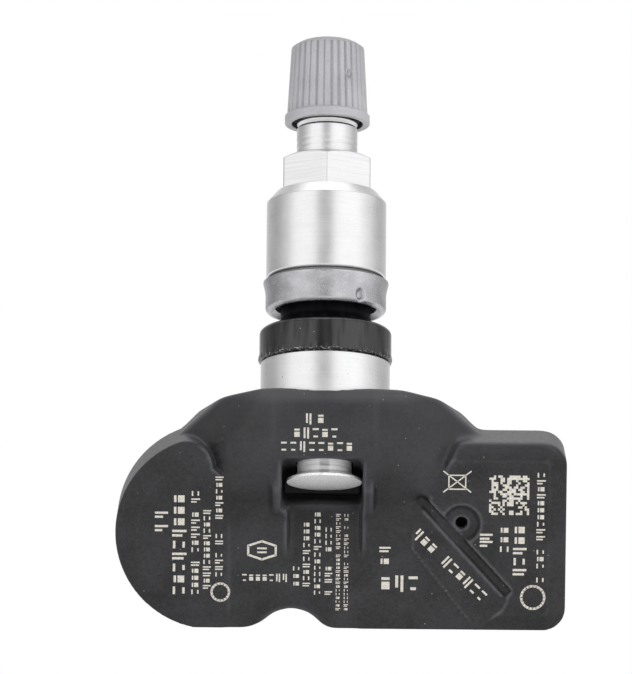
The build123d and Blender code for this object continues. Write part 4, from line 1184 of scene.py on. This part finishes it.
class SENSOR_OT_marks(bpy.types.Operator):
    """Mark the housing with rows of plain bars, a spanner hexagon, a square of dots and simple shapes"""

    bl_idname = "sensor.marks"
    bl_label = "Laser marks"

    def execute(self, context):
        size = context.scene.sensor_marks
        finish = context.scene.sensor_finish
        rng = np.random.default_rng(11)
        row = partial(print_row, rng, size.stroke)
        channel = tan(size.lean)
        rows = np.vstack(
            [
                row(size.plateau, -20.30, -15.38, 3.4, 1.64),
                row(size.plateau, -18.05, -18.31, 13.1, 1.80),
                row(size.plateau, -16.04, -18.05, 13.4, 1.10),
                row(size.plateau, -14.59, -18.50, 12.7, 1.00),
                row(size.plateau, -13.08, -15.96, 13.0, 1.00),
                ring(-12.90, -24.30, 1.10, 16, 0.28, size.plateau),
                hexagon(-7.72, -19.04, 1.72, 1.16, 0.27, size.slab),
                bars(-7.72, [-18.79, -19.29], 1.2, 0.22, 0.0, size.slab),
                row(size.slab, -7.36, -22.54, 5.9, 1.05, 0),
                row(size.slab, -3.40, -22.28, 2.9, 0.95, 90, channel),
                row(size.slab, -2.14, -19.71, 8.1, 0.95, 90, channel),
                row(size.slab, -0.76, -19.61, 10.3, 0.95, 90, channel),
                row(size.slab, 0.63, -19.74, 10.1, 0.95, 90, channel),
                row(size.slab, 1.82, -20.69, 12.0, 0.60, 90, channel),
                row(size.slab, 2.83, -20.69, 12.0, 0.60, 90, channel),
                row(size.slab, 7.67, -19.55, 3.0, 1.40),
                row(size.slab, 9.50, -23.13, 5.2, 2.10, 0),
                row(size.column, -1.26, -1.84, 3.0, 1.40, 0),
                row(size.column, -1.13, -3.62, 5.8, 1.40, 0),
                row(size.column, -1.00, -5.34, 9.3, 1.35, 0),
                crossed_square(16.60, -10.02, 1.75, 1.35, 0.16, size.plateau),
                dot_square(rng, 23.10, -11.68, 5.0, 18, size.plateau),
                row(size.plateau, 20.30, -17.42, 1.8, 1.60),
                row(size.plateau, 22.60, -17.93, 4.8, 1.30),
                row(size.plateau, 24.50, -18.76, 6.7, 1.70),
                row(size.plateau, 27.10, -15.76, 14.2, 1.10),
                ring(26.20, -24.65, 1.45, 20, 0.30, size.plateau),
                row(size.pad, 15.78, -20.70, 12.4, 1.50, -44),
            ]
        )
        mesh = mark_mesh("housing_marks", rows, size)
        material = laser_mark("mark_laser_pale", finish.mark)
        place(mesh, SENSOR, material, "housing_plastic")
        return {"FINISHED"}


def bars(u, w, long, wide, turn, out, slope=0.0):
    """Rows (u, w, half length, half width, turn, out, slope) for bars whose first four are in millimetres."""
    rows = np.stack(np.broadcast_arrays(u, w, long, wide, turn, out, slope), axis=-1).reshape(-1, 7)
    return rows * (MM, MM, MM / 2, MM / 2, 1.0, 1.0, 1.0)


def print_row(rng, stroke, out, u, w, long, tall, degrees=90, slope=0.0):
    """A row of print that says nothing: cells along a line, each with two ticks, two dashes or a block.

    The cells are drawn along X about the row's middle, then turned and moved to their place.
    """
    cell = 0.78 * tall
    count = max(2, int(long / cell))
    middle = (np.arange(count) - (count - 1) / 2) * (long / count)
    kind = rng.integers(0, 3, count)
    kept = rng.random(count) > 0.12
    drop = rng.uniform(0.55, 1.0, count)
    thin = stroke * tall
    apart = np.choose(kind, [0.2 * cell, 0.0, 0.0])
    # Place along and up, length and height of both bars of a cell, each for ticks, dashes and a block
    first = [
        middle - apart,
        np.choose(kind, [(1.0 - drop) * tall / 2, 0.36 * tall, 0.30 * tall]),
        np.choose(kind, [thin, 0.7 * cell, 0.62 * cell]),
        np.choose(kind, [tall * drop, thin, thin]),
    ]
    second = [
        middle + apart,
        np.choose(kind, [0.0, -0.30 * tall, -0.12 * tall]),
        np.choose(kind, [thin, 0.7 * cell * drop, 0.62 * cell]),
        np.choose(kind, [tall, thin, 0.46 * tall]),
    ]
    along, up, wide, high = np.hstack([np.stack(first)[:, kept], np.stack(second)[:, kept]])
    turn = radians(degrees)
    u = u + along * cos(turn) - up * sin(turn)
    w = w + along * sin(turn) + up * cos(turn)
    return bars(u, w, wide, high, turn, out, slope)


def closed_line(corners, wide, out):
    """Bars along the sides of a closed outline, each a little longer than its side, to close the corners."""
    after = np.roll(corners, -1, axis=0)
    u, w = (corners + after).T / 2
    across, up = (after - corners).T
    return bars(u, w, np.hypot(across, up) + 0.6 * wide, wide, np.arctan2(up, across), out)


def ring(u, w, radius, count, wide, out):
    """A circle of short bars."""
    turn = np.arange(count) * 2 * pi / count
    return closed_line((u, w) + radius * np.column_stack([np.cos(turn), np.sin(turn)]), wide, out)


def hexagon(u, w, half_wide, half_tall, wide, out):
    """A six-sided outline with points above and below."""
    corners = np.array([(0, 1), (-1, 0.5), (-1, -0.5), (0, -1), (1, -0.5), (1, 0.5)])
    return closed_line((u, w) + corners * (half_wide, half_tall), wide, out)


def crossed_square(u, w, half_wide, half_tall, wide, out):
    """A box outline with two crossing bars."""
    corners = np.array([(-0.6, -0.7), (0.6, -0.7), (0.6, 0.6), (-0.6, 0.6)])
    box = closed_line((u, w) + corners * (half_wide, half_tall), wide, out)
    turn = np.arctan2(half_tall, half_wide)
    return np.vstack([box, bars(u, w, 2 * np.hypot(half_wide, half_tall), wide, [turn, -turn], out)])


def dot_square(rng, u, w, side, count, out):
    """A square field of small squares, about half of them filled at random."""
    step = side / count
    filled = np.argwhere(rng.random((count, count)) < 0.5)
    spots = (filled - (count - 1) / 2) * step + (u, w)
    return bars(*spots.T, step, step, 0.0, out)


def mark_mesh(name, rows, size):
    """Flat bars on the housing's faces, as boxes that are sunk a little and stand out a little.

    A bar's corners are its middle plus or minus its half sizes, turned in the face. Each corner goes out to
    the face below it, which slopes in the channel, and then to its place: pivot + u right + w up + n out.
    """
    signs = np.array([(-1, -1), (1, -1), (1, 1), (-1, 1)], float)
    u, w, long, wide, turn, out, slope = rows.T[:, :, None]
    across, up = signs[:, 0] * long, signs[:, 1] * wide
    u = u + across * np.cos(turn) - up * np.sin(turn)
    w = w + across * np.sin(turn) + up * np.cos(turn)
    out = out - slope * np.maximum(w - size.channel_end, 0.0)
    levels = np.stack([out - size.sunk, out + size.proud], axis=1)
    u, w = np.broadcast_to(u[:, None], levels.shape), np.broadcast_to(w[:, None], levels.shape)
    lean_cos, lean_sin = cos(size.lean), sin(size.lean)
    points = np.stack(
        [u, -w * lean_sin - levels * lean_cos, size.pivot + w * lean_cos - levels * lean_sin], axis=-1
    ).reshape(-1, 3)
    box = np.array([(3, 2, 1, 0), (4, 5, 6, 7), (0, 1, 5, 4), (1, 2, 6, 5), (2, 3, 7, 6), (3, 0, 4, 7)])
    faces = (np.arange(len(rows))[:, None, None] * 8 + box).reshape(-1, 4)
    mesh = bpy.data.meshes.new(name)
    mesh.from_pydata(points, [], faces.tolist())
    return mesh


class SENSOR_OT_inner(bpy.types.Operator):
    """Give the foot, the valve core and everything inside the housing their finishes"""

    bl_idname = "sensor.inner"
    bl_label = "Foot, core and inner pieces"

    def execute(self, context):
        finish = context.scene.sensor_finish
        colours = {row["slot"]: row["base_color"] for row in frame["record"]["materials"]}
        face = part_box("valve_foot")[0].z + 0.32 * MM
        made = {
            "foot_alloy": grainy_alloy("foot_alloy_grainy", finish.foot, face),
            "gasket_rubber": moulded_rubber("gasket_rubber_black", finish.rubber),
            "board_laminate": lacquered_board("board_laminate_green", colours["board_laminate"]),
            "filter_membrane": moulded_plastic(
                "filter_membrane_dark", finish.rubber, 0.8, 0.1 * MM, 0.02 * MM, 0.1
            ),
        }
        steels = ("spring_steel", "cell_steel", "tab_steel", "lid_steel")
        for slot in (*steels, "core_brass", "coil_copper", "antenna_brass"):
            made[slot] = drawn_metal(slot + "_drawn", colours[slot], 0.30)
        for slot in ("insulator_film", "chip_plastic", "coil_ferrite"):
            made[slot] = moulded_plastic(slot + "_plain", colours[slot], 0.6, 0.2 * MM, 0.01 * MM)
        for slot in ("capacitor_ceramic", "resistor_ceramic"):
            made[slot] = fired_block(slot + "_fired", colours[slot], colours["tab_steel"])
        for row in frame["record"]["subparts"]:
            if row["material_slot"] in made:
                paint(frame["nodes"][row["node"]], made[row["material_slot"]])
        self.press_spring()
        return {"FINISHED"}

    def press_spring(self):
        """Work out how far the core's spring would shorten towards its seat as the pin is pressed in, and
        give the spring its own mesh; the shortening itself is not applied.
        """
        joint = next(row for row in frame["record"]["behaviour"]["joints"] if row["name"] == "core_press")
        seat = joint["deforming_nodes"][0]["fixed_end_z_m"]
        keep = 1.0 + joint["range_m"][0] / (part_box("core_spring")[1].z - seat)
        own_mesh(frame["nodes"]["core_spring"])


class SENSOR_OT_stage(bpy.types.Operator):
    """Set up the camera, three softboxes, the cards that metal mirrors, a white surround and a pale floor"""

    bl_idname = "sensor.stage"
    bl_label = "Stage"

    def camera(self, scene, size):
        """A long lens that looks at the aim from below, with the picture turned a little."""
        data = bpy.data.cameras.new("camera")
        data.sensor_width = 36.0
        data.lens = data.sensor_width * size.distance / size.picture_height
        data.clip_start, data.clip_end = 0.05, 20.0
        aim = Matrix.Translation((size.aim_right, 0.0, size.aim_up))
        turned = Matrix.Rotation(pi / 2 - size.elevation, 4, "X") @ Matrix.Rotation(size.roll, 4, "Z")
        camera = bpy.data.objects.new("camera", data)
        camera.matrix_world = aim @ turned @ Matrix.Translation((0.0, 0.0, size.distance))
        scene.collection.objects.link(camera)
        scene.camera = camera

    def softbox(self, scene, name, middle, wide, tall, brightness):
        """A rectangular lamp that faces the origin and shines with that radiance."""
        lamp = bpy.data.lights.new(name, "AREA")
        lamp.shape = "RECTANGLE"
        lamp.size, lamp.size_y = wide, tall
        lamp.energy = brightness * pi * wide * tall
        box = bpy.data.objects.new(name, lamp)
        box.matrix_world = Matrix.Translation(middle) @ middle.to_track_quat("Z", "Y").to_matrix().to_4x4()
        box.visible_camera = False
        box.visible_glossy = False
        scene.collection.objects.link(box)

    def drum(self, scene, size):
        """A wide ring of pale paper that only reflections see, greyer behind the camera and at both sides.

        Its brightness follows the angle around the axis, from the back over the left, the front and the
        right.
        """
        height = np.array([size.drum_reach, -size.drum_reach])[:, None]
        radius = np.full_like(height, size.drum_radius)
        mesh = grid_mesh("drum", around(radius, height, full_turn(96)), False)
        material, sheet = finish_sheet("drum_paper")
        right = sheet.axis("X")
        place_at = right.math("ARCTAN2", right, sheet.axis("Y") * -1.0) * (0.5 / pi) + 0.5
        stops = [(0.5 + degrees / 360.0, grey) for degrees, grey in DRUM_GREYS]
        sheet.glow(sheet.node("ShaderNodeValToRGB", {"stops": stops}, {"Fac": place_at}), size.drum)
        self.mirrored(scene, "drum", mesh, material)

    def ceiling(self, scene, size):
        """A round card above the nut that only reflections see, bright in its middle and grey at its rim."""
        reach = np.array([0.0, 0.2, 0.4, 0.7, 1.0])[:, None] * size.ceiling_radius
        disc = around(reach, np.full_like(reach, size.ceiling_height), full_turn(48))
        mesh = grid_mesh("ceiling", disc + (0.0, size.ceiling_back, 0.0), False)
        material, sheet = finish_sheet("ceiling_card")
        sheet.glow(sheet.step(sheet.far(size.ceiling_back), 0.05, 0.36, 1.0, 0.32), size.ceiling)
        self.mirrored(scene, "ceiling", mesh, material)

    def mirrored(self, scene, name, mesh, material):
        """Put a card into the scene that shows in reflections alone."""
        mesh.materials.append(material)
        card = bpy.data.objects.new(name, mesh)
        card.visible_camera = False
        card.visible_diffuse = False
        card.visible_shadow = False
        scene.collection.objects.link(card)

    def surround(self, scene, size):
        """A world that is white to the eye and in reflections, and fills the shade with a softer light."""
        world = bpy.data.worlds.new("studio")
        world.use_nodes = True
        scene.world = world
        sheet = Sheet(world.node_tree)
        seen = (
            sheet.node("ShaderNodeLightPath", output="Is Camera Ray")
            | sheet.node("ShaderNodeLightPath", output="Is Glossy Ray")
            | sheet.node("ShaderNodeLightPath", output="Is Transmission Ray")
        )
        strength = size.fill + seen * (1.0 - size.fill)
        sky = sheet.node("ShaderNodeBackground", None, {"Color": (1.0, 1.0, 1.0, 1.0), "Strength": strength})
        sheet.node("ShaderNodeOutputWorld", None, {"Surface": sky})

    def floor(self, scene, size):
        """A pale disc that keeps the shadow in its middle and fades to white towards its rim."""
        turn = full_turn(96)
        reach = np.array([0.0, 0.2, 0.5, 1.0, 2.0, 4.0])[:, None]
        mesh = grid_mesh("floor", around(reach[::-1], np.full_like(reach, size.floor), turn), False)
        material, sheet = finish_sheet("floor_pale")
        fade = sheet.step(sheet.far(), size.floor_clear, size.floor_white)
        paper = sheet.node("ShaderNodeBsdfDiffuse", None, {"Color": (0.92, 0.92, 0.92, 1.0)})
        white = sheet.node("ShaderNodeEmission", None, {"Color": (1.0, 1.0, 1.0, 1.0), "Strength": 1.0})
        blend = sheet.node("ShaderNodeMixShader", None, {0: fade, 1: paper, 2: white})
        sheet.node("ShaderNodeOutputMaterial", None, {"Surface": blend})
        mesh.materials.append(material)
        floor = bpy.data.objects.new("floor", mesh)
        scene.collection.objects.link(floor)

    def execute(self, context):
        scene = context.scene
        size = scene.sensor_stage
        scene.view_settings.view_transform = "Standard"
        self.camera(scene, size)
        self.surround(scene, size)
        self.floor(scene, size)
        self.drum(scene, size)
        self.ceiling(scene, size)
        for side, name in ((-1, "left"), (1, "right")):
            turn = side * size.softbox_turn
            middle = Vector((sin(turn), -cos(turn), 0.0)) * size.softbox_distance
            brightness = size.softbox * (1.0 + side * size.softbox_bias)
            sides = (size.softbox_width, size.softbox_height)
            self.softbox(scene, "softbox_" + name, middle, *sides, brightness)
        low = Vector((0.0, -size.low_forward, -size.low_down))
        self.softbox(scene, "softbox_low", low, size.low_width, size.low_height, size.low_softbox)
        return {"FINISHED"}


class SENSOR_PT_pieces(bpy.types.Panel):
    """The sensor's pieces, in the order in which they are made"""

    bl_label = "Tyre pressure sensor"
    bl_idname = "SENSOR_PT_pieces"
    bl_space_type = "VIEW_3D"
    bl_region_type = "UI"
    bl_category = "Sensor"

    def draw(self, context):
        for operator in OPERATORS:
            self.layout.operator(operator.bl_idname)


GROUPS = {
    "sensor_stem": StemSizes,
    "sensor_seal": SealSizes,
    "sensor_washer": WasherSizes,
    "sensor_nut": NutSizes,
    "sensor_cap": CapSizes,
    "sensor_housing": HousingSizes,
    "sensor_marks": MarkSizes,
    "sensor_finish": Finishes,
    "sensor_stage": StageSizes,
}
OPERATORS = (
    SENSOR_OT_stem,
    SENSOR_OT_seal,
    SENSOR_OT_washer,
    SENSOR_OT_nut,
    SENSOR_OT_cap,
    SENSOR_OT_housing,
    SENSOR_OT_marks,
    SENSOR_OT_inner,
    SENSOR_OT_stage,
)


def register():
    """Register the property groups, the operators and the panel."""
    for name, group in GROUPS.items():
        bpy.utils.register_class(named(group))
        setattr(bpy.types.Scene, name, PointerProperty(type=group))
    for kind in (*OPERATORS, SENSOR_PT_pieces):
        bpy.utils.register_class(kind)


def unregister():
    """Take back what register did."""
    for kind in (SENSOR_PT_pieces, *reversed(OPERATORS)):
        bpy.utils.unregister_class(kind)
    for name, group in GROUPS.items():
        delattr(bpy.types.Scene, name)
        bpy.utils.unregister_class(group)


def main():
    """Make every piece through its operator."""
    register()
    for operator in OPERATORS:
        group, name = operator.bl_idname.split(".")
        getattr(getattr(bpy.ops, group), name)()


if __name__ == "__main__":
    main()
